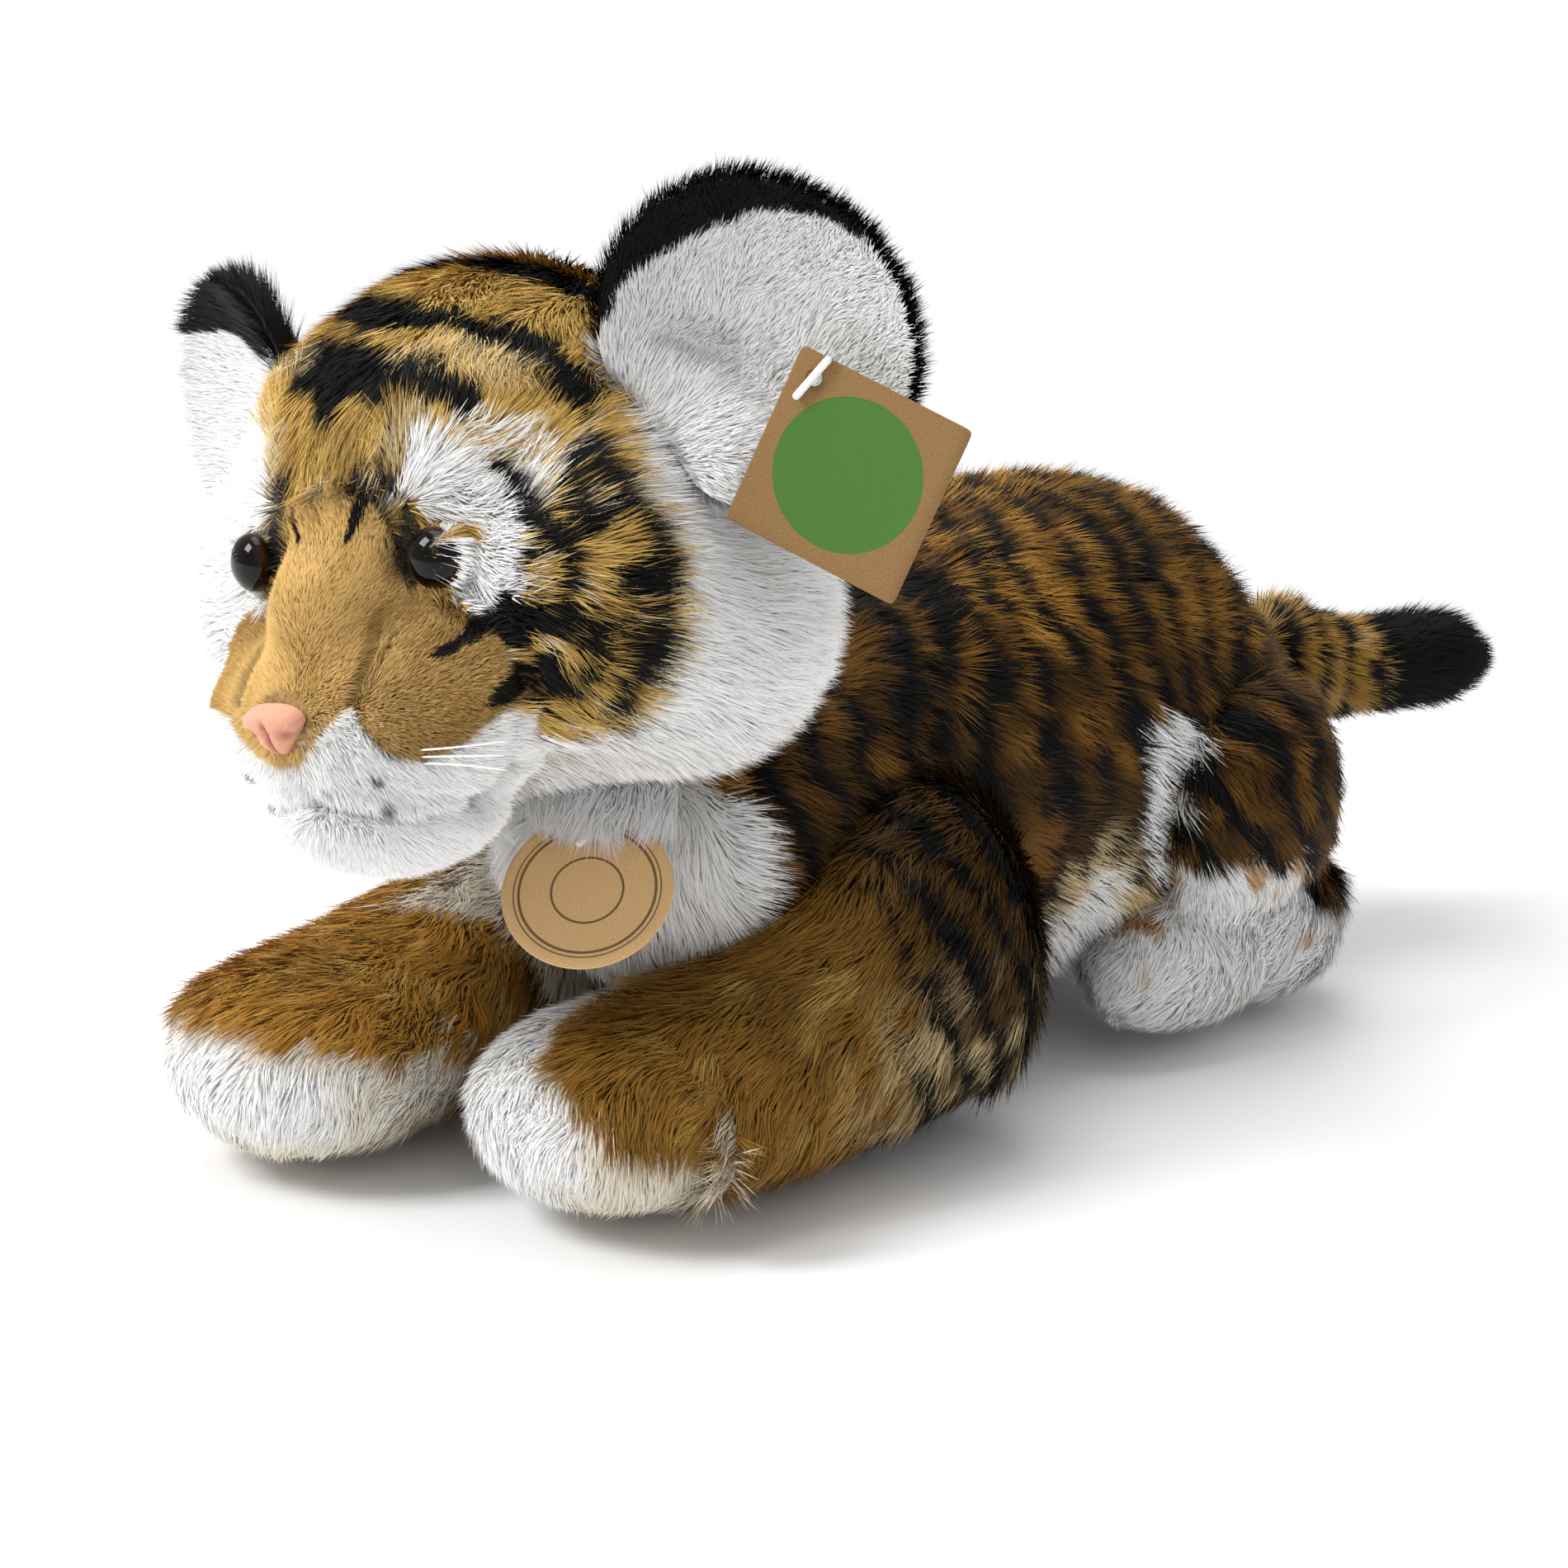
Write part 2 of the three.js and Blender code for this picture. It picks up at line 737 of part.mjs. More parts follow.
// One layer of an ear, between two depths through its thickness.
function earLayer(frontShare, backShare, grow, size = ear) {
  const surface = (share) => {
    const rows = [];
    for (let r = 1; r <= size.rings; r++) {
      const out = Math.sin((Math.PI / 2) * (r / size.rings));
      const row = [];
      for (let s = 0; s < size.sides; s++) {
        row.push(earPoint(out, (-2 * Math.PI * s) / size.sides, share, grow));
      }
      rows.push(row);
    }
    return rows;
  };
  const rows = [...surface(frontShare), ...surface(backShare).reverse()];
  return closedSurface(earPoint(0, 0, frontShare, grow), rows, earPoint(0, 0, backShare, grow));
}

// Where an ear stands on the head: its frame's origin is the middle of its disc.
function earPose(side) {
  const { spread, back, up, outwardTurn, lean } = side > 0 ? ear.left : ear.right;
  return headPose
    .clone()
    .multiply(new THREE.Matrix4().makeTranslation(side * spread, back, up))
    .multiply(new THREE.Matrix4().makeRotationZ(radians(side * outwardTurn)))
    .multiply(new THREE.Matrix4().makeRotationY(radians(side * lean)))
    .multiply(new THREE.Matrix4().makeTranslation(0, 0, -earRoot));
}

// The height of the ear's trimmed lower end in its own frame
const earRoot = ear.rootDepth - ear.radius * ear.tallShare;

function earHinge(side) {
  const pose = earPose(side);
  const pivot = new THREE.Vector3(0, 0, earRoot).applyMatrix4(pose);
  const axis = new THREE.Vector3(1, 0, 0).transformDirection(pose);
  return { pivot: pivot.toArray(), axis: axis.toArray() };
}

function earTrim(side, grow) {
  return solidOf(boxBetween([-span, -span, earRoot - grow], [span, span, span]).applyMatrix4(earPose(side)));
}

function earSolid(side, frontShare, backShare) {
  return solidOf(earLayer(frontShare, backShare, 0).applyMatrix4(earPose(side))).intersect(earTrim(side, 0));
}

// The slot in the head that an ear stands and folds in
function earRoom(side, grow) {
  const clear = jointGap + ear.slack + grow;
  const room = solidOf(earLayer(0, 1, clear, ear.room).applyMatrix4(earPose(side)));
  return room.intersect(earTrim(side, clear));
}

for (const { side, label } of sides) {
  const half = seamGap / 2 / ear.thickness;
  addPiece(`ear_${label}_front`, earSolid(side, 0, 0.5 - half), materials.white);
  addPiece(`ear_${label}_back`, earSolid(side, 0.5 + half, 1), materials.black);
}

// Head fittings: each is turned to stand square on the face at its place

function onHead(at, facing) {
  const frame = new THREE.Matrix4().lookAt(facing, new THREE.Vector3(), new THREE.Vector3(0, 0, 1));
  return headPose.clone().multiply(new THREE.Matrix4().makeTranslation(...at)).multiply(frame);
}

// A turned piece about the Z axis, from pairs of radius and height.
function turnedForm(outline, segments) {
  const points = outline.map(([r, h]) => new THREE.Vector2(r, h));
  return new THREE.LatheGeometry(points, segments).rotateX(Math.PI / 2);
}

// A safety eye: a domed button on a shank that points into the head, along -Z of its own frame. Its room
// in the head is a plain round one.
function eyeForm(grow = 0) {
  const outline = [
    [0, -eye.shankLength - grow],
    [eye.shankRadius + grow, -eye.shankLength - grow],
    [eye.shankRadius + grow, -grow],
    [eye.radius + grow, -grow],
  ];
  if (grow > 0) {
    outline.push([eye.radius + grow, eye.bulge + grow]);
  } else {
    for (let k = 1; k < eye.domeSteps; k++) {
      const angle = ((Math.PI / 2) * k) / eye.domeSteps;
      outline.push([eye.radius * Math.cos(angle), eye.bulge * Math.sin(angle)]);
    }
  }
  outline.push([0, eye.bulge + grow]);
  return turnedForm(outline, eye.sides);
}

function eyePose(side) {
  const at = [side * eye.spread, -eye.forward, eye.up];
  return onHead(at, vector([at[0] * eye.outwardShare, at[1], at[2] * eye.outwardShare]));
}

function eyeSolid(side, grow) {
  return solidOf(eyeForm(grow).applyMatrix4(eyePose(side)));
}

// The nose: a rounded triangle, point down, on a shank.
function noseSolid(grow) {
  const [w, h] = [nose.width / 2 + grow - nose.bevel, nose.height / 2 + grow - nose.bevel];
  const { topRise, shoulderFall, tipHalf } = nose.shares;
  const outline = new THREE.Shape();
  outline.moveTo(-w, h * shoulderFall);
  outline.quadraticCurveTo(0, h * topRise, w, h * shoulderFall);
  outline.lineTo(w * tipHalf, -h);
  outline.lineTo(-w * tipHalf, -h);
  const pad = new THREE.ExtrudeGeometry(outline, {
    depth: nose.depth - 2 * nose.bevel + 2 * grow,
    bevelSize: nose.bevel,
    bevelThickness: nose.bevel,
    bevelSegments: 2,
    curveSegments: 5,
  }).translate(0, 0, nose.bevel - grow);
  const shank = post(nose.shankRadius + grow, -nose.shankLength - grow, nose.depth / 2, nose.sides);
  return placed([pad, shank], nosePose);
}

const noseFacing = new THREE.Vector3(0, -Math.cos(radians(nose.tilt)), -Math.sin(radians(nose.tilt)));
const nosePose = onHead([0, -nose.forward, nose.up], noseFacing);

function placed(geometries, pose) {
  return joined(geometries.map((geometry) => solidOf(geometry.applyMatrix4(pose))));
}

// A toothed lock washer on a shank, just under the skin's lining.
function washerSolid(pose, shankRadius, grow) {
  const [inner, outer] = [grow > 0 ? 0 : shankRadius + seamGap, washer.radius + grow];
  const high = grow - washer.depth;
  const low = -washer.depth - washer.thickness - grow;
  const outline = [
    [inner, low],
    [outer, low],
    [outer, high],
    [inner, high],
  ];
  return placed([turnedForm(grow > 0 ? outline : [...outline, outline[0]], washer.sides)], pose);
}

// A whisker: a nylon filament rooted in the lip
function whiskerSolid(side, [rootTurn, heightShare, aimTurn, rise], grow = 0) {
  const { at, radii } = head.lobes.muzzle;
  const quarter = Math.PI / 2;
  const turned = (share) =>
    new THREE.Vector3(side * Math.sin(share * quarter), -Math.cos(share * quarter), 0);
  const outward = turned(rootTurn);
  const aim = turned(aimTurn).setZ(rise);
  const lipHeight = headPanels.chinTop + (headPanels.lipTop - headPanels.chinTop) * heightShare;
  const surface = new THREE.Vector3(radii[0] * outward.x, at[1] + radii[1] * outward.y, lipHeight);
  const root = surface.clone().addScaledVector(outward, -whisker.rooted);
  const free = surface.clone().addScaledVector(aim, whisker.length);
  const middle = root.clone().lerp(free, 0.5).addScaledVector(outward, whisker.droop);
  middle.setZ(lipHeight + whisker.droop);
  const section = new THREE.Shape();
  section.absarc(0, 0, whisker.radius + grow, 0, 2 * Math.PI);
  const filament = new THREE.ExtrudeGeometry(section, {
    steps: whisker.steps,
    curveSegments: whisker.sides,
    bevelEnabled: false,
    extrudePath: new THREE.QuadraticBezierCurve3(root, middle, free),
  });
  return placed([filament], headPose);
}

// Tags: thin cards, each hung on a plastic pin

// The frame of a tag: the hole is its origin, the card faces +Z and hangs towards -Y.
function tagPose({ hole, facing, tilt }) {
  return new THREE.Matrix4()
    .makeTranslation(...hole)
    .multiply(new THREE.Matrix4().makeRotationZ(radians(facing)))
    .multiply(new THREE.Matrix4().makeRotationX(radians(90 - tilt)));
}

function pinSolid(pose) {
  const bar = new THREE.CylinderGeometry(tagPin.barRadius, tagPin.barRadius, tagPin.barLength, tagPin.sides);
  bar.rotateZ(radians(-tagPin.barTurn)).translate(0, 0, tagPin.barRadius);
  return placed([bar, post(tagPin.radius, -tagPin.stem, tagPin.barRadius, tagPin.sides)], pose);
}

function cardSolid(outline, { thickness, holeRadius, holeSides, segments }, pose) {
  const card = new THREE.ExtrudeGeometry(outline, {
    depth: thickness,
    bevelEnabled: false,
    curveSegments: segments,
  });
  card.translate(0, 0, -thickness - tagPin.gap);
  return placed([card], pose).subtract(placed([post(holeRadius, -overrun, overrun, holeSides)], pose));
}

{
  const inset = hangTag.holeInset / Math.SQRT2;
  const far = hangTag.side - inset;
  const turn = (x, y) =>
    new THREE.Vector2(x, y).rotateAround(new THREE.Vector2(), radians(-hangTag.turn));
  const square = new THREE.Shape([
    turn(-inset, inset),
    turn(-inset, -far),
    turn(far, -far),
    turn(far, inset),
  ]);
  addPiece("hang_tag", cardSolid(square, hangTag, tagPose(hangTag)), materials.card);
  addPiece("hang_tag_pin", pinSolid(tagPose(hangTag)), materials.nylon);

  const disc = new THREE.Shape();
  disc.absarc(0, chestTag.holeInset - chestTag.radius, chestTag.radius, 0, 2 * Math.PI);
  addPiece("chest_tag", cardSolid(disc, chestTag, tagPose(chestTag)), materials.card);
  addPiece("chest_tag_pin", pinSolid(tagPose(chestTag)), materials.nylon);
}

// Head pieces: what is fitted to the head is cut out of its skin and filling
function fittings(grow) {
  return [
    ...sides.map(({ side }) => eyeSolid(side, grow)),
    noseSolid(grow),
    ...sides.flatMap(({ side }) => whisker.rowShares.map((row) => whiskerSolid(side, row, grow))),
    neckPost(jointGap, neck.top + jointGap),
  ];
}

function headLayer(depth) {
  return without(solidOf(headForm(-depth)), sides.map(({ side }) => earRoom(side, depth)));
}

{
  const inHead = (geometry) => placed([geometry], headPose);
  const lip = (side, grow) => {
    const [inner, outer] = [(side * seamGap) / 2 - side * grow, side * span];
    return inHead(
      boxBetween(
        [Math.min(inner, outer), -span, headPanels.chinTop + seamGap - grow],
        [Math.max(inner, outer), headPanels.lipBack + grow, headPanels.lipTop + grow],
      ),
    );
  };
  const chin = (grow) =>
    inHead(
      boxBetween(
        [-headPanels.chinHalfWidth - grow, -span, -span],
        [headPanels.chinHalfWidth + grow, headPanels.chinBack + grow, headPanels.chinTop + grow],
      ),
    );
  const muzzle = (grow) => inHead(ellipsoid(headPanels.muzzle, headPanels.seam, grow));
  const ruff = (side, grow) => {
    const { at, radii } = headPanels.ruff;
    return inHead(ellipsoid({ at: mirrored(at, side), radii }, headPanels.seam, grow));
  };

  const washersAt = [
    { name: "eye_left_washer", pose: eyePose(1), shank: eye.shankRadius },
    { name: "eye_right_washer", pose: eyePose(-1), shank: eye.shankRadius },
    { name: "nose_washer", pose: nosePose, shank: nose.shankRadius },
  ];
  const washerRooms = washersAt.map(({ pose, shank }) => washerSolid(pose, shank, seamGap));
  const inside = [...fittings(seamGap), ...washerRooms];
  const shell = without(headLayer(layers.skin).subtract(headLayer(layers.lining)), inside);
  addPiece("chin_panel", shell.intersect(chin(0)), materials.white);
  const aboveChin = shell.subtract(chin(seamGap));
  const white = [aboveChin];
  for (const { side, label } of sides) {
    addPiece(`ruff_${label}`, aboveChin.intersect(ruff(side, 0)), materials.white);
    const front = without(aboveChin, [ruff(side, seamGap)]);
    addPiece(`lip_${label}`, front.intersect(lip(side, 0)), materials.white);
    white.push(ruff(side, seamGap), lip(side, seamGap));
  }
  const golden = without(white[0], white.slice(1));
  addPiece("muzzle_panel", golden.intersect(muzzle(0)), materials.tan);
  addPiece("crown_panel", golden.subtract(muzzle(seamGap)), materials.crown);

  addPiece("head_filling", without(headLayer(layers.filling), inside), materials.fibre);
  for (const { name, pose, shank } of washersAt) {
    addPiece(name, washerSolid(pose, shank, 0), materials.washer);
  }
  addPiece("nose", noseSolid(0), materials.nose);
  for (const { side, label } of sides) {
    addPiece(`eye_${label}`, eyeSolid(side, 0), materials.eye);
    whisker.rowShares.forEach((row, k) =>
      addPiece(`whisker_${label}_${k + 1}`, whiskerSolid(side, row), materials.nylon),
    );
  }
}

// The origin: on the floor, under the middle of the toy
const bounds = new THREE.Box3().setFromObject(toy);
const middle = bounds.getCenter(new THREE.Vector3());
for (const piece of toy.children) {
  piece.geometry.translate(-middle.x, -middle.y, -bounds.min.z);
}

export default toy;
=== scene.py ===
"""A plush tiger cub that lies on its belly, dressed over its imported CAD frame.

Sizes are in millimetres in the toy's own frame, with X towards its left side, Y towards its tail and Z
up from the floor. They become metres in the row frame when a mesh is made.
"""

import itertools
import logging
import math
from dataclasses import dataclass, field
from enum import Enum
from typing import Sequence

import bpy
import numpy as np
from mathutils import Matrix, Vector


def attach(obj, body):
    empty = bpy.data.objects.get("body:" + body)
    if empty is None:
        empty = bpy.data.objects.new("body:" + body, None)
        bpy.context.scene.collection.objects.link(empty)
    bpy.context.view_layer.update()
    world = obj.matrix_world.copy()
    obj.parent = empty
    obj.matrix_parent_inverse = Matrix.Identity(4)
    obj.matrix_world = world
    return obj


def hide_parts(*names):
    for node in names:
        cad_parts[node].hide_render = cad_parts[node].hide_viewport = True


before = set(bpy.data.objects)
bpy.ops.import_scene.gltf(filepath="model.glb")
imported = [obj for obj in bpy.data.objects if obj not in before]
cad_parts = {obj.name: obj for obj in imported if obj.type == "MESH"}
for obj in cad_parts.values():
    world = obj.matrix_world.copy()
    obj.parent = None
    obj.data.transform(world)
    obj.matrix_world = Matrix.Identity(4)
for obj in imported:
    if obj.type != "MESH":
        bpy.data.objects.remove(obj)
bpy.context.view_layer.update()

log = logging.getLogger("plush_tiger")
Array = np.ndarray

SEED = 41
MM = 0.001
ROW_SHIFT = np.array([2.1559, -92.2885, 0])  # from the toy's own frame to the row frame
STRAND_SHARE = 1
STRAND_WIDTH = STRAND_SHARE**-0.5
SIDES = {1: "left", -1: "right"}


# Vectors and smooth steps


def unit(vectors: Array) -> Array:
    """Each vector divided by its own length."""
    return vectors / np.maximum(np.linalg.norm(vectors, axis=-1, keepdims=True), 1e-9)


def rise(values: Array, low: float, high: float) -> Array:
    """Goes from 0 at low to 1 at high, along three t squared minus two t cubed."""
    share = np.clip((values - low) / (high - low), 0, 1)
    return share * share * (3 - 2 * share)


def mixed(first: Array, second: Array, share: Array) -> Array:
    """First where share is 0, second where it is 1, for rows of colours or points."""
    return first + (second - first) * share[..., None]


def columns(*values: Array | float) -> Array:
    """Values side by side, as rows of points, colours or shares."""
    return np.stack(np.broadcast_arrays(*values), axis=-1)


def folded(points: Array) -> Array:
    """Points with those of the right side brought over to the left side."""
    return columns(np.abs(points[:, 0]), points[:, 1], points[:, 2])


def round_angles(sides: int) -> Array:
    """Even angles once round, in radians."""
    return 2 * np.pi * np.arange(sides) / sides


def linear(code: str) -> Array:
    """The linear colour of a six-digit hexadecimal sRGB code."""
    parts = np.array([int(code[k : k + 2], 16) for k in (1, 3, 5)]) / 255
    return np.where(parts <= 0.04045, parts / 12.92, ((parts + 0.055) / 1.055) ** 2.4)


def turn(axis: str, degrees: float) -> Array:
    """The matrix that turns a column vector about the named axis."""
    return np.array(Matrix.Rotation(math.radians(degrees), 3, axis))


def tangent(vectors: Array, normals: Array) -> Array:
    """The part of each vector that lies in the surface, at unit length."""
    return unit(vectors - normals * (vectors * normals).sum(-1, keepdims=True))


class SmoothNoise:
    """Smooth random values in space: a lattice of random numbers, blended between its points."""

    def __init__(self, seed: int, cells: int = 32) -> None:
        """Draws the lattice.

        Args:
            seed: the number that fixes the lattice.
            cells: how many lattice points there are each way before it repeats.
        """
        self.cells = cells
        self.lattice = np.random.default_rng(seed).uniform(-1, 1, (cells, cells, cells, 3))

    def __call__(self, places: Array, size: float) -> Array:
        """Three values from -1 to 1 at each place.

        Each is the sum over the eight corners of a lattice cell of the corner's value times the
        product of its smooth shares along X, Y and Z.

        Args:
            places: points in millimetres, one to a row.
            size: the width of a lattice cell in millimetres.

        Returns:
            Three values to a row.
        """
        spots = places / size
        low = np.floor(spots).astype(int)
        part = spots - low
        part = part * part * (3 - 2 * part)
        total = np.zeros(places.shape)
        for corner in itertools.product((0, 1), repeat=3):
            shares = np.prod(np.where(np.array(corner) == 1, part, 1 - part), axis=-1)
            x, y, z = ((low + corner) % self.cells).T
            total += shares[:, None] * self.lattice[x, y, z]
        return total


NOISE = SmoothNoise(SEED)


def run_through(values: Sequence, shares: Array, carry_on: bool = False) -> Array:
    """A smooth run through values: cubic pieces whose slope at a value is half its neighbours' difference.

    Args:
        values: numbers or points that the run goes through, evenly spaced.
        shares: places along the run, from 0 to 1.
        carry_on: whether the run goes straight on at its ends; otherwise it levels out.

    Returns:
        The run at each share.
    """
    knots = np.asarray(values, float)
    first = 2 * knots[0] - knots[1] if carry_on else knots[0]
    last = 2 * knots[-1] - knots[-2] if carry_on else knots[-1]
    padded = np.concatenate([[first], knots, [last]])
    spots = shares * (len(knots) - 1)
    k = np.clip(np.floor(spots).astype(int), 0, len(knots) - 2)
    u = (spots - k).reshape((-1,) + (1,) * (knots.ndim - 1))
    before, a, b, after = (padded[k + step] for step in range(4))
    slope_a, slope_b = (b - before) / 2, (after - a) / 2
    return (
        (2 * u**3 - 3 * u**2 + 1) * a
        + (u**3 - 2 * u**2 + u) * slope_a
        + (3 * u**2 - 2 * u**3) * b
        + (u**3 - u**2) * slope_b
    )


# Meshes


def make_piece(name: str, points: Array, quads: Array, triangles: Array) -> bpy.types.Object:
    """Makes a mesh piece, in metres in the row frame, with its object at the origin.

    Args:
        name: the piece's name.
        points: vertices in millimetres in the toy's frame.
        quads: vertex numbers of the four-sided faces.
        triangles: vertex numbers of the three-sided faces.

    Returns:
        The new object.
    """
    mesh = bpy.data.meshes.new(name)
    mesh.vertices.add(len(points))
    mesh.vertices.foreach_set("co", ((points + ROW_SHIFT) * MM).astype(np.float32).ravel())
    corners = np.concatenate([quads.reshape(-1), triangles.reshape(-1)]).astype(np.int32)
    starts = np.concatenate([np.arange(len(quads)) * 4, len(quads) * 4 + np.arange(len(triangles)) * 3])
    mesh.loops.add(len(corners))
    mesh.loops.foreach_set("vertex_index", corners)
    mesh.polygons.add(len(starts))
    mesh.polygons.foreach_set("loop_start", starts.astype(np.int32))
    mesh.polygons.foreach_set("use_smooth", np.ones(len(starts), bool))
    mesh.update(calc_edges=True)
    mesh.validate()
    piece = bpy.data.objects.new(name, mesh)
    bpy.context.scene.collection.objects.link(piece)
    return piece


def paint(piece: bpy.types.Object, name: str, colours: Array) -> None:
    """Stores a linear colour for each vertex under an attribute's name."""
    layer = piece.data.color_attributes.new(name, "FLOAT_COLOR", "POINT")
    full = np.concatenate([colours, np.ones((len(colours), 1))], axis=1)
    layer.data.foreach_set("color", full.astype(np.float32).ravel())


@dataclass
class Roots:
    """Places on a surface where strands grow: point, outward normal and direction along the form."""

    points: Array
    normals: Array
    along: Array

    def keep(self, mask: Array) -> "Roots":
        """Only the places where mask holds."""
        return Roots(self.points[mask], self.normals[mask], self.along[mask])


class Skin:
    """A closed surface on a grid: rows from pole to pole, columns round it."""

    def __init__(self, points: Array) -> None:
        """Takes the grid and works out its outward normals.

        The normal is the cross product of the differences along the rows and round the columns,
        turned outwards from the grid's middle. A pole takes the mean of the row beside it.

        Args:
            points: an array of rows, columns and three coordinates.
        """
        self.points = points
        self.down = np.gradient(points, axis=0)
        across = np.roll(points, -1, axis=1) - np.roll(points, 1, axis=1)
        normals = unit(np.cross(self.down, across))
        if (normals * (points - points.mean((0, 1)))).sum() < 0:
            normals = -normals
        for pole, beside in ((0, 1), (-1, -2)):
            normals[pole] = unit(normals[beside].mean(0))
            self.down[pole] = self.down[beside]
        self.normals = normals

    def sunk(self, depths: Array | float) -> "Skin":
        """The surface moved inwards along its normals by one depth, or by a depth at each grid point."""
        return Skin(self.points - self.normals * np.asarray(depths)[..., None])

    def piece(self, name: str) -> bpy.types.Object:
        """The surface as a mesh piece, with one vertex at each pole."""
        rows, sides = self.points.shape[:2]
        inner = self.points[1:-1].reshape(-1, 3)
        points = np.concatenate([self.points[:1, 0], inner, self.points[-1:, 0]])
        row, side = np.meshgrid(np.arange(rows - 3), np.arange(sides), indexing="ij")
        here = 1 + row * sides + side
        beside = 1 + row * sides + (side + 1) % sides
        quads = columns(here, here + sides, beside + sides, beside).reshape(-1, 4)
        first = 1 + np.arange(sides)
        last = 1 + (rows - 3) * sides + np.arange(sides)
        top = columns(np.zeros(sides, int), first, np.roll(first, -1))
        bottom = columns(np.full(sides, len(points) - 1), np.roll(last, -1), last)
        triangles = np.concatenate([top, bottom])
        a, b, c = (points[quads[:, k]] for k in (0, 1, 3))
        outward = np.cross(b - a, c - a) * self.normals[1:-2].reshape(-1, 3)
        if outward.sum() < 0:
            quads, triangles = quads[:, ::-1], triangles[:, ::-1]
        return make_piece(name, points, quads, triangles)

    def vertex_rows(self, values: Array) -> Array:
        """Grid values in the order of the piece's vertices."""
        inner = values[1:-1].reshape((-1,) + values.shape[2:])
        return np.concatenate([values[:1, 0], inner, values[-1:, 0]])

    def scatter(self, count: int, random: np.random.Generator) -> Roots:
        """Random places spread evenly over the surface.

        A cell of the grid is drawn with a chance in proportion to its area, which is half the
        length of the cross product of its diagonals, and the place lies at two random shares of it.

        Args:
            count: how many places.
            random: the source of the draws.

        Returns:
            The places with their normals and directions.
        """
        p = self.points
        rows, sides = p.shape[:2]
        far = np.roll(p, -1, axis=1)
        area = np.linalg.norm(np.cross(far[1:] - p[:-1], far[:-1] - p[1:]), axis=-1).ravel()
        cell = random.choice(len(area), size=count, p=area / area.sum())
        row, side = cell // sides, cell % sides
        u, v = random.random((2, count))

        def blend(grid: Array) -> Array:
            """Grid values at the drawn places, blended across their cells."""
            beside = (side + 1) % sides
            near = grid[row, side] * (1 - v)[:, None] + grid[row, beside] * v[:, None]
            off = grid[row + 1, side] * (1 - v)[:, None] + grid[row + 1, beside] * v[:, None]
            return near * (1 - u)[:, None] + off * u[:, None]

        normals = unit(blend(self.normals))
        return Roots(blend(p), normals, tangent(blend(self.down), normals))


def stuffed_form(
    spine: Sequence,
    widths: Sequence,
    heights: Sequence,
    ends: tuple[float, float],
    rows: int,
    sides: int,
) -> Array:
    """A stuffed tube that is round at both ends, as a grid.

    Each row is an ellipse across the spine. Its half sizes are the smooth runs of widths and heights
    times the quarter-circle rise over each end's share of the length.

    Args:
        spine: points that the middle runs through.
        widths: half widths at even steps.
        heights: half heights at even steps.
        ends: shares of the length over which the start and the end round off.
        rows: how many steps along.
        sides: how many points round.

    Returns:
        The grid of points.
    """
    shares = (1 - np.cos(np.pi * np.arange(rows + 1) / rows)) / 2
    step = 1e-3
    middle = run_through(spine, shares, carry_on=True)
    ahead = run_through(spine, np.clip(shares + step, 0, 1), carry_on=True)
    behind = run_through(spine, np.clip(shares - step, 0, 1), carry_on=True)
    along = unit(ahead - behind)
    across = unit(np.cross([0, 0, 1], along))
    tall = np.cross(along, across)
    start = np.minimum(shares / ends[0], 1)
    end = np.minimum((1 - shares) / ends[1], 1)
    full = np.sqrt(1 - (1 - start) ** 2) * np.sqrt(1 - (1 - end) ** 2)
    wide = run_through(widths, shares) * full
    high = run_through(heights, shares) * full
    angle = round_angles(sides)
    return (
        middle[:, None]
        + across[:, None] * (wide[:, None] * np.cos(angle))[..., None]
        + tall[:, None] * (high[:, None] * np.sin(angle))[..., None]
    )


@dataclass(frozen=True)
class Lobe:
    """One rounded swelling of a blended form: its middle and its three radii."""

    at: tuple[float, float, float]
    radii: tuple[float, float, float]

    def mirrored(self) -> "Lobe":
        """The same swelling on the other side."""
        return Lobe((-self.at[0], self.at[1], self.at[2]), self.radii)

    def reach(self, directions: Array) -> Array:
        """Distance from the origin to the swelling's far side along each direction, or 0 past it.

        It is the larger root of a t squared - 2 b t + c, where a, b and c are the sums over the axes
        of direction squared, direction times place, and place squared, each over radius squared.
        """
        size = np.array(self.radii, float) ** 2
        at = np.array(self.at, float)
        a = (directions**2 / size).sum(-1)
        b = (directions * at / size).sum(-1)
        c = (at**2 / size).sum() - 1
        inside = b * b - a * c
        far = (b + np.sqrt(np.maximum(inside, 0))) / a
        return np.where(inside > 0, np.maximum(far, 0), 0)


def lobed_reach(lobes: Sequence[Lobe], blend: float, directions: Array) -> Array:
    """How far a blended form reaches: the blend-th root of the sum of its lobes' reaches to that power."""
    total = sum(lobe.reach(directions) ** blend for lobe in lobes)
    return total ** (1 / blend)


def lobed_form(lobes: Sequence[Lobe], blend: float, rows: int, sides: int) -> Array:
    """A blended form as a grid of directions from its front to its back, each at the form's reach."""
    polar = np.pi * np.arange(rows + 1) / rows
    angle = -round_angles(sides)
    out = np.sin(polar)[:, None]
    directions = columns(out * np.cos(angle), -np.cos(polar)[:, None], out * np.sin(angle))
    return directions * lobed_reach(lobes, blend, directions)[..., None]


def on_floor(points: Array, floor: float) -> Array:
    """The points with none below a height above the floor."""
    lifted = points.copy()
    lifted[..., 2] = np.maximum(lifted[..., 2], floor)
    return lifted


# Materials


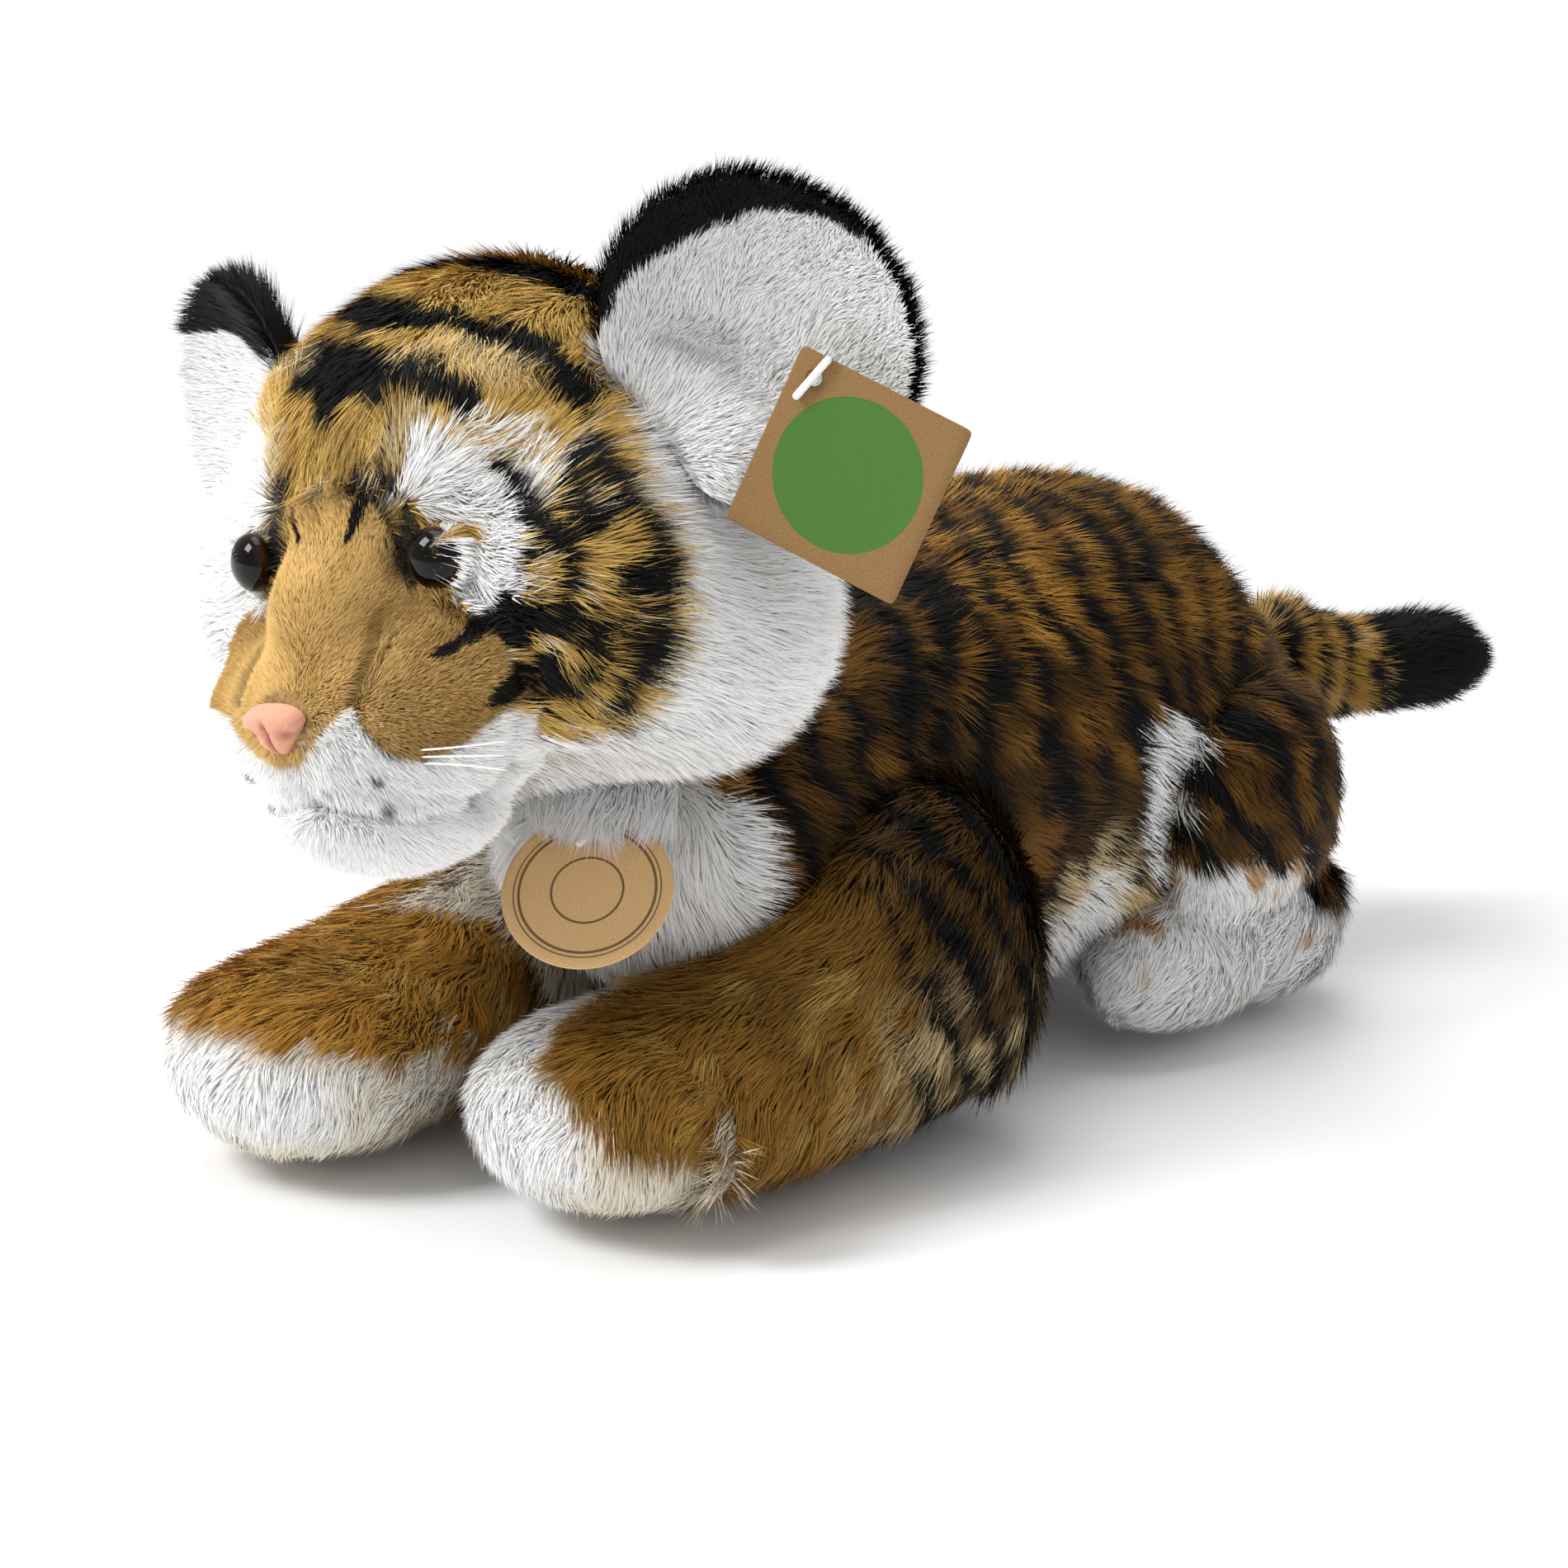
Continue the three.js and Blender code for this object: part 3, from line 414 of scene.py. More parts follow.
class Value:
    """A number socket in a shader, which takes operators."""

    def __init__(self, shader: "Shader", socket: bpy.types.NodeSocket) -> None:
        """Holds the socket and the shader that it belongs to."""
        self.shader = shader
        self.socket = socket

    def maths(self, operation: str, *values: object) -> "Value":
        """Adds a Math node of one operation on this value and others."""
        inputs = dict(enumerate((self, *values)))
        return self.shader.value("ShaderNodeMath", inputs, operation=operation)

    def __mul__(self, other: object) -> "Value":
        """The product."""
        return self.maths("MULTIPLY", other)

    def __sub__(self, other: object) -> "Value":
        """This less the other."""
        return self.maths("SUBTRACT", other)

    def below(self, limit: object) -> "Value":
        """1 where this is less than the limit."""
        return self.maths("LESS_THAN", limit)

    def size(self) -> "Value":
        """The value without its sign."""
        return self.maths("ABSOLUTE")


class Shader:
    """The node tree of one material or of the world."""

    def __init__(self, name: str, world: bool = False) -> None:
        """Starts a material, or the world, with an empty tree."""
        self.made = (bpy.data.worlds if world else bpy.data.materials).new(name)
        self.made.use_nodes = True
        self.tree = self.made.node_tree
        self.tree.nodes.clear()

    def node(
        self, kind: str, inputs: dict | None = None, output: object = 0, **settings: object
    ) -> bpy.types.NodeSocket:
        """Adds a node.

        Args:
            kind: the node's type.
            inputs: a value, socket or Value for each named or numbered input.
            output: which output to return.
            settings: the node's own settings, which are set first.

        Returns:
            The chosen output.
        """
        made = self.tree.nodes.new(kind)
        for key, value in settings.items():
            if key == "stops":
                self.set_stops(made.color_ramp, value)
            else:
                setattr(made, key, value)
        for key, value in (inputs or {}).items():
            value = value.socket if isinstance(value, Value) else value
            if isinstance(value, bpy.types.NodeSocket):
                self.tree.links.new(value, made.inputs[key])
            else:
                made.inputs[key].default_value = value
        return made.outputs[output] if len(made.outputs) else None

    @staticmethod
    def set_stops(ramp: bpy.types.ColorRamp, stops: Sequence) -> None:
        """Gives a ramp its stops, each a place and a linear colour."""
        while len(ramp.elements) < len(stops):
            ramp.elements.new(1)
        for element, (place, colour) in zip(ramp.elements, stops, strict=True):
            element.position = place
            element.color = (*colour, 1)

    def value(self, kind: str, inputs: dict | None = None, output: object = 0, **settings: object) -> Value:
        """Adds a node and returns one output as a number for expressions."""
        return Value(self, self.node(kind, inputs, output, **settings))

    def tint(self) -> bpy.types.NodeSocket:
        """The colour that is stored with each vertex."""
        return self.node("ShaderNodeAttribute", output="Color", attribute_name=TINT)

    def grain(self, size: float, detail: float, kind: str = "ShaderNodeTexNoise") -> Value:
        """Noise in space, in patches of a size in millimetres; a detail of 0 is left at its default."""
        inputs = {"Vector": self.node("ShaderNodeTexCoord", output="Object"), "Scale": 1 / (size * MM)}
        if detail:
            inputs["Detail"] = detail
        return self.value(kind, inputs)

    def mix(self, share: object, first: object, second: object) -> bpy.types.NodeSocket:
        """A colour between two colours."""
        made = self.tree.nodes.new("ShaderNodeMix")
        made.data_type = "RGBA"
        for socket, value in (
            (made.inputs[0], share),
            (made.inputs[6], first),
            (made.inputs[7], second),
        ):
            value = value.socket if isinstance(value, Value) else value
            if isinstance(value, bpy.types.NodeSocket):
                self.tree.links.new(value, socket)
            else:
                socket.default_value = (*value, 1) if np.size(value) == 3 else value
        return made.outputs[2]

    def finish(self, colour: object, bump: object = None, depth: float = 0.1, **values: float) -> None:
        """Ends the tree in one Principled shader.

        Args:
            colour: a socket or a linear colour.
            bump: a height for a Bump node, or None.
            depth: the bump's distance in millimetres.
            values: plain values for other inputs, with underscores for spaces.
        """
        inputs: dict = {"Base Color": colour if isinstance(colour, bpy.types.NodeSocket) else (*colour, 1)}
        inputs.update({key.replace("_", " "): value for key, value in values.items()})
        if bump is not None:
            inputs["Normal"] = self.node("ShaderNodeBump", {"Height": bump, "Distance": depth * MM})
        shader = self.node("ShaderNodeBsdfPrincipled", inputs)
        self.node("ShaderNodeOutputMaterial", {"Surface": shader})


TINT = "Tint"


@dataclass(frozen=True)
class PileFinish:
    """Pile fabric: the strand's own tint, with faint lighter and darker patches."""

    name: str
    roughness: float = 0.6
    patch_size: float = 9.0
    patch_depth: float = 0.1
    deep: tuple[float, float, float] = (0.02, 0.016, 0.012)

    def material(self) -> bpy.types.Material:
        """Builds the material."""
        shader = Shader(self.name)
        share = (shader.grain(self.patch_size, 2) - 0.5).size() * (2 * self.patch_depth)
        colour = shader.mix(share, shader.tint(), self.deep)
        shader.finish(colour, Roughness=self.roughness, Specular_IOR_Level=0.15)
        return shader.made


@dataclass(frozen=True)
class BackingFinish:
    """The knitted backing under the pile, which shows only between strands, with a tint that carries painted
    shade.
    """

    name: str
    roughness: float = 0.9
    knit_size: float = 1.2
    deep: tuple[float, float, float] = (0.01, 0.008, 0.006)

    def material(self) -> bpy.types.Material:
        """Builds the material."""
        shader = Shader(self.name)
        knit = shader.grain(self.knit_size, 0, "ShaderNodeTexVoronoi")
        colour = shader.mix(knit * 0.5, shader.tint(), self.deep)
        shader.finish(colour, bump=knit, depth=0.4, Roughness=self.roughness)
        return shader.made


@dataclass(frozen=True)
class EyeFinish:
    """A glossy black safety eye, with a painted reflection of the brown pile round its edge."""

    name: str = "eye_gloss"
    # where the painted reflection of the brown pile begins, as a share of the way out
    edge: float = 0.8

    def material(self) -> bpy.types.Material:
        """Builds the material from the piece's own map, whose first coordinate runs out from the middle."""
        shader = Shader(self.name)
        spot = shader.node("ShaderNodeUVMap", uv_map="dome")
        out = shader.value("ShaderNodeSeparateXYZ", {"Vector": spot}, "X")
        # painted reflection: black in the middle, turning to the brown of the surrounding pile at the dome's
        # edge
        stops = [(0, linear("#020101")), (self.edge, linear("#060302")), (1, linear("#2c1409"))]
        colour = shader.node("ShaderNodeValToRGB", {"Fac": out}, "Color", stops=stops)
        shader.finish(colour, Roughness=0.05, Specular_IOR_Level=0.22)
        return shader.made


@dataclass(frozen=True)
class FlockFinish:
    """Short velvety flock on the nose, over a tint that carries painted shade in its groove and nostrils."""

    name: str = "nose_flock"
    grain_size: float = 0.5

    def material(self) -> bpy.types.Material:
        """Builds the material."""
        shader = Shader(self.name)
        grain = shader.grain(self.grain_size, 3)
        colour = shader.mix(grain * 0.35, shader.tint(), linear("#b4735c"))
        shader.finish(
            colour, bump=grain, depth=0.25, Roughness=0.85, Sheen_Weight=0.2, Sheen_Roughness=0.4
        )
        return shader.made


class Print(Enum):
    """What a card tag carries: nothing that can be read."""

    GREEN_FIELD = "green field"
    RINGS = "rings"


@dataclass(frozen=True)
class CardFinish:
    """Brown kraft card with a plain print, read from the card's own map in millimetres."""

    name: str
    print_kind: Print
    middle: tuple[float, float]
    radius: float
    kraft: tuple[str, str, str]  # the card's dark, middle and pale browns, with painted light in them: paler for a lit card, darker for a shaded one

    def material(self) -> bpy.types.Material:
        """Builds the material."""
        shader = Shader(self.name)
        spot = shader.node("ShaderNodeUVMap", uv_map="card")
        fibre = shader.value(
            "ShaderNodeTexNoise", {"Vector": spot, "Scale": 1.9, "Detail": 6, "Roughness": 0.75}
        )
        stops = [(place, linear(code)) for place, code in zip((0.3, 0.5, 0.72), self.kraft, strict=True)]
        kraft = shader.node("ShaderNodeValToRGB", {"Fac": fibre}, "Color", stops=stops)
        centred = shader.node(
            "ShaderNodeVectorMath",
            {0: spot, 1: (self.middle[0], self.middle[1], 0)},
            operation="SUBTRACT",
        )
        out = shader.value("ShaderNodeVectorMath", {0: centred}, "Value", operation="LENGTH")
        colour = self.printed(shader, kraft, out, fibre)
        shader.finish(colour, bump=fibre, depth=0.05, Roughness=0.85, Specular_IOR_Level=0.25)
        return shader.made

    def printed(self, shader: Shader, kraft: object, out: Value, fibre: Value) -> bpy.types.NodeSocket:
        """The card's colour with its plain print over the kraft brown."""
        if self.print_kind is Print.GREEN_FIELD:
            green = shader.mix(fibre * 0.35, linear("#446e2b"), linear("#5f8a43"))
            return shader.mix(out.below(self.radius), kraft, green)
        colour = kraft
        for share, half in ((0.8, 0.35), (0.86, 0.18), (0.42, 0.3)):
            line = (out - self.radius * share).size().below(half)
            colour = shader.mix(line * 0.8, colour, linear("#3b2a1a"))
        return colour


@dataclass(frozen=True)
class NylonFinish:
    """White nylon, slightly uneven along its length."""

    name: str
    code: str = "#f1f0ea"
    cloud_size: float = 2.5

    def material(self) -> bpy.types.Material:
        """Builds the material."""
        shader = Shader(self.name)
        cloud = shader.grain(self.cloud_size, 1)
        colour = shader.mix(cloud * 0.3, linear(self.code), linear("#d9d7cf"))
        shader.finish(colour, Roughness=0.3, Specular_IOR_Level=0.5, Coat_Weight=0.2)
        return shader.made


# Coats of pile


@dataclass(frozen=True)
class Inks:
    """The colours of the pile, as linear colours."""

    gold: Array = field(default_factory=lambda: linear("#d8b260"))
    amber: Array = field(default_factory=lambda: linear("#aa8038"))
    tawny: Array = field(default_factory=lambda: linear("#875d20"))
    brown: Array = field(default_factory=lambda: linear("#4d3410"))
    umber: Array = field(default_factory=lambda: linear("#3b2710"))
    paw: Array = field(default_factory=lambda: linear("#c08c3a"))
    straw: Array = field(default_factory=lambda: linear("#dcc493"))
    tan: Array = field(default_factory=lambda: linear("#dcb46c"))
    black: Array = field(default_factory=lambda: linear("#0d0c0b"))
    soot: Array = field(default_factory=lambda: linear("#2b2926"))
    white: Array = field(default_factory=lambda: linear("#fdfcfa"))
    cream: Array = field(default_factory=lambda: linear("#ece1cb"))
    grey: Array = field(default_factory=lambda: linear("#8d8a88"))


INKS = Inks()


@dataclass
class Growth:
    """How the strands of a coat grow, one value or row to each strand."""

    lengths: Array
    leans: Array  # degrees from the normal at the root and at the tip, in one row or a row to each strand
    comb: Array
    tints: Array
    width: float
    tuft: float = 2.5  # how far smooth tufts pull the tips, in millimetres
    tuft_size: float = 6.0
    shaded_root_brightness: Array | float = 0.4  # painted shade: brightness at the root of a dark strand, beside its tip, standing for the shade deep in the pile


BLADE_BEND = 0.45  # the share of a blade's length at which it is widest and bends
BLADE_ROOT = 0.6  # how deep a blade starts in the backing, in millimetres
FULL_PULL = 12.0  # the length from which tufts pull a blade with all their strength


def coat_piece(name: str, roots: Roots, growth: Growth, seed: int) -> bpy.types.Object:
    """Grows a coat as one mesh of bent blades.

    A blade is a kite: it leaves its root at the first lean from the normal, is widest at its bend, and
    goes on from there at the second lean to its point. Its middle and tip are pulled
    sideways by smooth noise, so that neighbours gather in tufts. It lies with its flat side out, and
    the stored normal of a vertex is 0.8 of the skin's normal plus 0.35 of the blade's own. Its tint
    is darker towards the root, as painted shade for the shade deep in the pile; a pale strand's root
    is painted nearly as bright as its tip, because light passes through pale fibre.

    Args:
        name: the piece's name.
        roots: where the strands grow.
        growth: how they grow.
        seed: the number that fixes the random draws.

    Returns:
        The new object, with its tint and its map for the bake.
    """
    random = np.random.default_rng(seed)
    count = len(roots.points)
    normals = roots.normals
    pulls = NOISE(roots.points, growth.tuft_size) + 0.6 * NOISE(roots.points + 71, 2.5 * growth.tuft_size)
    pulls -= normals * (pulls * normals).sum(-1, keepdims=True)
    sway = tangent(random.normal(size=(count, 3)), normals)
    comb = tangent(growth.comb + 0.18 * sway + 0.25 * pulls, normals)
    lengths = (growth.lengths * random.uniform(0.7, 1.12, count))[:, None]
    leans = np.radians(growth.leans + random.normal(0, 6, (count, 1)))
    first = normals * np.cos(leans[:, :1]) + comb * np.sin(leans[:, :1])
    second = normals * np.cos(leans[:, 1:]) + comb * np.sin(leans[:, 1:])
    share = np.minimum(growth.lengths / FULL_PULL, 1)[:, None]
    base = roots.points - normals * BLADE_ROOT
    middle = base + first * lengths * BLADE_BEND + pulls * growth.tuft * 0.3 * share
    tip = middle + second * lengths * (1 - BLADE_BEND) + pulls * growth.tuft * share
    middle[:, 2] = np.maximum(middle[:, 2], 0.5)
    tip[:, 2] = np.maximum(tip[:, 2], 0.3)
    facing = unit(np.cross(second, normals) + 0.35 * tangent(random.normal(size=(count, 3)), second))
    half = facing * (growth.width * STRAND_WIDTH * random.uniform(0.75, 1.25, count) / 2)[:, None]
    points = np.stack([base, middle - half, middle + half, tip], axis=1)
    start = np.arange(count)[:, None] * 4
    triangles = np.concatenate([start + np.array([0, 2, 1]), start + np.array([1, 2, 3])])
    piece = make_piece(name, points.reshape(-1, 3), np.empty((0, 4), int), triangles)

    own = unit(np.cross(facing, second))
    own *= np.sign((own * normals).sum(-1, keepdims=True) + 1e-9)
    shade = unit(0.8 * normals + 0.35 * own)
    stored = piece.data.attributes.new("custom_normal", "FLOAT_VECTOR", "POINT")
    stored.data.foreach_set("vector", np.repeat(shade, 4, axis=0).astype(np.float32).ravel())

    tone = random.uniform(0.84, 1.12, (count, 1))
    tips = np.clip(growth.tints * tone, 0, 1)
    # painted shade: a strand's root and middle are darker than its tip, and a pale strand's root hardly at
    # all
    root = growth.shaded_root_brightness + (0.97 - growth.shaded_root_brightness) * np.clip(tips.mean(-1) / 0.8, 0, 1)
    shares = columns(root, 0.2 * root + 0.75, 0.2 * root + 0.75, np.full(count, 1.04))
    tints = np.clip(tips[:, None] * shares[..., None], 0, 0.97)
    paint(piece, TINT, tints.reshape(-1, 3))
    lay_map(piece, tips)
    return piece


def lay_map(piece: bpy.types.Object, tips: Array) -> None:
    """Gives a coat its map for the bake: a cell to each blade, in the order of the blades' brightness.

    In its cell a blade stands upright, with its root at the bottom and its point at the top.

    Args:
        piece: the coat.
        tips: the blades' tip colours.
    """
    count = len(tips)
    side = math.ceil(math.sqrt(count))
    rank = np.empty(count, int)
    rank[np.argsort(tips.sum(-1) + 0.001 * tips[:, 0], kind="stable")] = np.arange(count)
    corner = columns(rank % side, rank // side)[:, None] / side
    low, mid, high = 0.06, 0.5, 0.94
    lower = np.array([[0.5, low], [high, mid], [low, mid]]) / side
    upper = np.array([[low, mid], [high, mid], [0.5, high]]) / side
    spots = np.concatenate([(corner + lower).reshape(-1, 2), (corner + upper).reshape(-1, 2)])
    layer = piece.data.uv_layers.new(name="OFBake")
    layer.data.foreach_set("uv", spots.astype(np.float32).ravel())


def lay_spots(piece: bpy.types.Object, name: str, spots: Array) -> None:
    """Gives a piece a named map, from a spot for each vertex."""
    corners = np.empty(len(piece.data.loops), np.int32)
    piece.data.loops.foreach_get("vertex_index", corners)
    layer = piece.data.uv_layers.new(name=name)
    layer.data.foreach_set("uv", spots[corners].astype(np.float32).ravel())


Place = tuple[float, float, float, float]


@dataclass(frozen=True)
class Stroke:
    """A painted mark: a line through places, each with its half width, and a soft edge."""

    places: tuple[Place, ...]
    soft: float = 2.5

    def strength(self, points: Array) -> Array:
        """1 on the mark and 0 away from it, by the distance to the line less its half width there."""
        nearest = np.full(len(points), np.inf)
        line = np.array(self.places, float)
        for a, b in zip(line[:-1], line[1:]):
            span = (b - a)[:3]
            share = np.clip((points - a[:3]) @ span / (span @ span), 0, 1)
            away = np.linalg.norm(points - a[:3] - share[:, None] * span, axis=1)
            nearest = np.minimum(nearest, away - a[3] - share * (b[3] - a[3]))
        return 1 - rise(nearest, 0, self.soft)


@dataclass(frozen=True)
class Mark:
    """One ink laid over a coat along some strokes."""

    ink: str
    strokes: tuple[Stroke, ...]
    mirrored: bool = True
    spread: float = 0.4
    share: float = 1.0

    def lay(self, colours: Array, points: Array, random: np.random.Generator) -> Array:
        """The colours with this mark over them; a strand mostly takes the ink whole or not at all."""
        places = folded(points) if self.mirrored else points
        strength = np.max([stroke.strength(places) for stroke in self.strokes], axis=0) * self.share
        return mixed(colours, getattr(INKS, self.ink), dithered(strength, random, self.spread))


def dithered(share: Array, random: np.random.Generator, spread: float = 0.42) -> Array:
    """A share turned into a mostly yes or no draw for each strand, so that edges look ragged."""
    cut = 0.5 + spread * random.uniform(-1, 1, len(share))
    return rise(share, cut - 0.08, cut + 0.08)


def dress(
    piece: bpy.types.Object, body: str, slot: str, material: bpy.types.Material, nodes: Sequence[str] = ()
) -> None:
    """Gives a piece its material and body, and hides the CAD nodes that it stands for."""
    piece.data.materials.append(material)
    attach(piece, body)
    if nodes:
        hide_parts(*nodes)
    log.info("%s: %d faces on %s", piece.name, len(piece.data.polygons), body)


class StuffedPart:
    """A stuffed part of the toy: its backing and the coats that grow on it."""

    body = ""
    slot = ""
    nodes: tuple[str, ...] = ()
    seed = 0
    fill = 0.8
    pile_height = 6

    def __init__(self) -> None:
        """Starts the part's own random draws."""
        self.random = np.random.default_rng(SEED + self.seed)

    def tints(self, places: Array) -> Array:
        """The colour of a strand that grows at each place."""
        raise NotImplementedError

    def backing(self, name: str, skin: Skin) -> bpy.types.Object:
        piece = skin.piece(name)
        colours = self.tints(skin.vertex_rows(skin.points + skin.normals * self.pile_height))
        # painted shade: the backing takes the pile's colour darkened, dark colours most, for the shade deep
        # in the pile
        colours *= 0.4 + 0.5 * colours.mean(-1, keepdims=True)
        paint(piece, TINT, colours)
        dress(piece, self.body, self.slot, FINISHES.backing, self.nodes)
        return piece

    def coat(self, name: str, roots: Roots, growth: Growth, slot: str = "") -> bpy.types.Object:
        """Grows one coat on the part."""
        self.seed += 1
        piece = coat_piece(name, roots, growth, SEED * 7 + self.seed)
        dress(piece, self.body, slot or self.slot, FINISHES.pile)
        return piece

    def seen(self, roots: Roots, comb: Array, lay: Array | float) -> Array:
        """Where the strands of some roots are seen: at the outer form, and a little along the comb."""
        return roots.points + roots.normals * self.pile_height + comb * lay

    def strands(self, count: int) -> int:
        return int(count * STRAND_SHARE)


class Finishes:
    """The materials that pieces share."""

    def __init__(self) -> None:
        """Builds each material once."""
        self.pile = PileFinish("pile").material()
        self.backing = BackingFinish("pile_backing").material()
        self.eye = EyeFinish().material()
        self.flock = FlockFinish().material()
        self.whisker = NylonFinish("whisker_nylon").material()
        self.pin = NylonFinish("tag_pin_nylon", "#fafaf7").material()


FINISHES = Finishes()


# Trunk


def far_from(points: Array, grid: Array, margin: float) -> Array:
    """Whether each point lies outside a tube-like grid that is shrunk by a margin.

    The nearest row's middle stands for the tube there, and its rings' half sizes for its section.
    """
    middles = grid.mean(1)
    offsets = points[:, None] - middles[None]
    nearest = np.argmin((offsets**2).sum(-1), axis=1)
    ring = grid[nearest] - middles[nearest][:, None]
    offset = offsets[np.arange(len(points)), nearest]
    towards = unit(offset)
    reach = (ring * towards[:, None]).sum(-1).max(1) - margin
    return np.linalg.norm(offset, axis=1) > reach


class Trunk(StuffedPart):
    """The long body, striped above and pale below, with a white bib."""

    body = "trunk"
    slot = "striped_pile"
    nodes = ("back_panel", "chest_bib", "belly_panel", "trunk_filling", "belly_pellet_bag")
    seed = 100

    length = 272
    front = -38
    width = 122
    height = 150
    lift = 6
    ends = (0.16, 0.2)
    # height of the middle, half width and half height, as shares, at even steps
    row_shares = (
        (0.5, 0.3, 0.2),
        (0.5, 0.42, 0.3),
        (0.51, 0.45, 0.39),
        (0.52, 0.47, 0.47),
        (0.53, 0.5, 0.5),
        (0.51, 0.5, 0.5),
        (0.52, 0.46, 0.42),
        (0.58, 0.34, 0.26),
    )
    pile_height = 7.5
    pile_length = 14
    count = 268000
    veil_count = 3600
    stripe_step = 13.5
    tag_hole = np.array([35, -38, 99])  # the chest tag's hole, which the bib's pile falls over
    tag_down = np.array([0.462, -0.551, -0.695])  # from the hole down the card
    tag_face = np.array([0.447, -0.532, 0.719])  # straight off the card's front
    flank_patch = Stroke(((61, 138, 94, 9), (60, 144, 80, 14), (58, 146, 66, 12)), 5)

    def form(self) -> Array:
        """The trunk's stuffed form as a grid."""
        middles, widths, heights = np.array(self.row_shares).T
        steps = np.arange(len(middles)) / (len(middles) - 1)
        spine = columns(0, self.front + self.length * steps, self.lift + self.height * middles)
        return stuffed_form(spine, self.width * widths, self.height * heights, self.ends, 90, 96)

    def tints(self, places: Array) -> Array:
        """Stripes across the back, broken into dashes, over brown that pales towards the belly."""
        y, z = places[:, 1], places[:, 2]
        low = 1 - rise(z - 28 * np.exp(-(((y - 118) / 24) ** 2)), 18, 70)
        warp = NOISE(places, 34)
        fine = NOISE(places * [1, 1, 0.6] + 13, 7)
        wave = np.cos(2 * np.pi * (y + 9 * low + 9 * warp[:, 0] + 3.5 * fine[:, 0]) / self.stripe_step)
        dark = rise(wave + fine[:, 1] + 0.35 * warp[:, 1], -0.15, 0.45)
        top = rise(z, 90, 150)
        base = mixed(INKS.brown, INKS.tawny, rise(fine[:, 2] + 0.5 * top, -0.05, 0.85))
        base = mixed(base, INKS.paw, rise(warp[:, 2] + fine[:, 0] + 0.5 * top, 0.45, 1.25) * 0.8)
        base = mixed(base, INKS.straw, rise(low + 0.25 * fine[:, 2], 0.35, 0.75))
        patch = self.flank_patch.strength(np.abs(places) + 2 * fine)
        pale = np.maximum(rise(low + 0.2 * fine[:, 0], 0.72, 0.95), patch)
        base = mixed(base, INKS.white, dithered(pale, self.random, 0.3))
        bib = (1 - rise(y + 8 * fine[:, 0], -6, 6)) * (1 - rise(z, 106, 122))
        dark = dithered(dark * (1 - 0.8 * rise(low, 0.6, 0.9)) * (1 - 0.45 * patch), self.random)
        colours = mixed(base, INKS.black, dark)
        return mixed(colours, INKS.white, dithered(bib, self.random, 0.2))

    def grow(self) -> None:
        """Makes the backing, the coats of the left and right sides in front and rear halves, and the bib's
        veil.
        """
        outer = Skin(self.form())
        skin = Skin(on_floor(outer.sunk(self.pile_height).points, 2))
        self.backing("trunk_backing", skin)
        roots = skin.scatter(self.strands(self.count), self.random)
        for leg in FORELEGS + HINDLEGS:
            roots = roots.keep(far_from(roots.points, leg.form(), 13))
        roots = roots.keep(HEAD.outside(roots.points, 12))
        left, front = roots.points[:, 0] > 0, roots.points[:, 1] < self.front + 0.55 * self.length
        for side, mask in (("left", left), ("right", ~left)):
            for end, half in (("front", front), ("rear", ~front)):
                part = roots.keep(mask & half)
                self.coat(f"trunk_coat_{side}_{end}", part, self.growth(part))
        self.veil()

    def veil(self) -> None:
        """Grows the tufts of the bib that fall over the chest tag's pin and top edge."""
        count = self.strands(self.veil_count)
        across = np.cross(self.tag_down, self.tag_face)
        sideways, back, under = self.random.uniform([-19, -16, -4], [19, -7, 0], (count, 3)).T[:, :, None]
        points = self.tag_hole + sideways * across + back * self.tag_down + under * self.tag_face
        normals = np.tile(self.tag_face, (count, 1))
        comb = self.tag_down + 0.012 * sideways * across
        roots = Roots(points, normals, comb)
        growth = Growth(
            lengths=np.full(count, 18) - 0.3 * np.abs(sideways[:, 0]),
            leans=np.array([46, 84]),
            comb=comb,
            tints=np.tile(INKS.white, (count, 1)),
            width=0.34,
            tuft=2.6,
        )
        self.coat("bib_veil_coat", roots, growth, "white_pile")

    def growth(self, roots: Roots) -> Growth:
        """Long pile, combed towards the tail and down, and shorter on the belly."""
        count = len(roots.points)
        under = 1 - rise(roots.points[:, 2], 14, 40)
        flow = np.array([0, 0.8, -0.6])
        chest = 1 - rise(roots.points[:, 1], -30, 10)
        comb = tangent(mixed(flow, np.array([[0, -0.2, -1]]), chest), roots.normals)
        return Growth(
            lengths=self.pile_length * (1 - 0.45 * under),
            leans=np.array([44, 70]),
            comb=comb,
            tints=self.tints(self.seen(roots, comb, 4)),
            width=0.42,
            tuft=3,
            tuft_size=6,
            shaded_root_brightness=0.32,
        )


# Legs


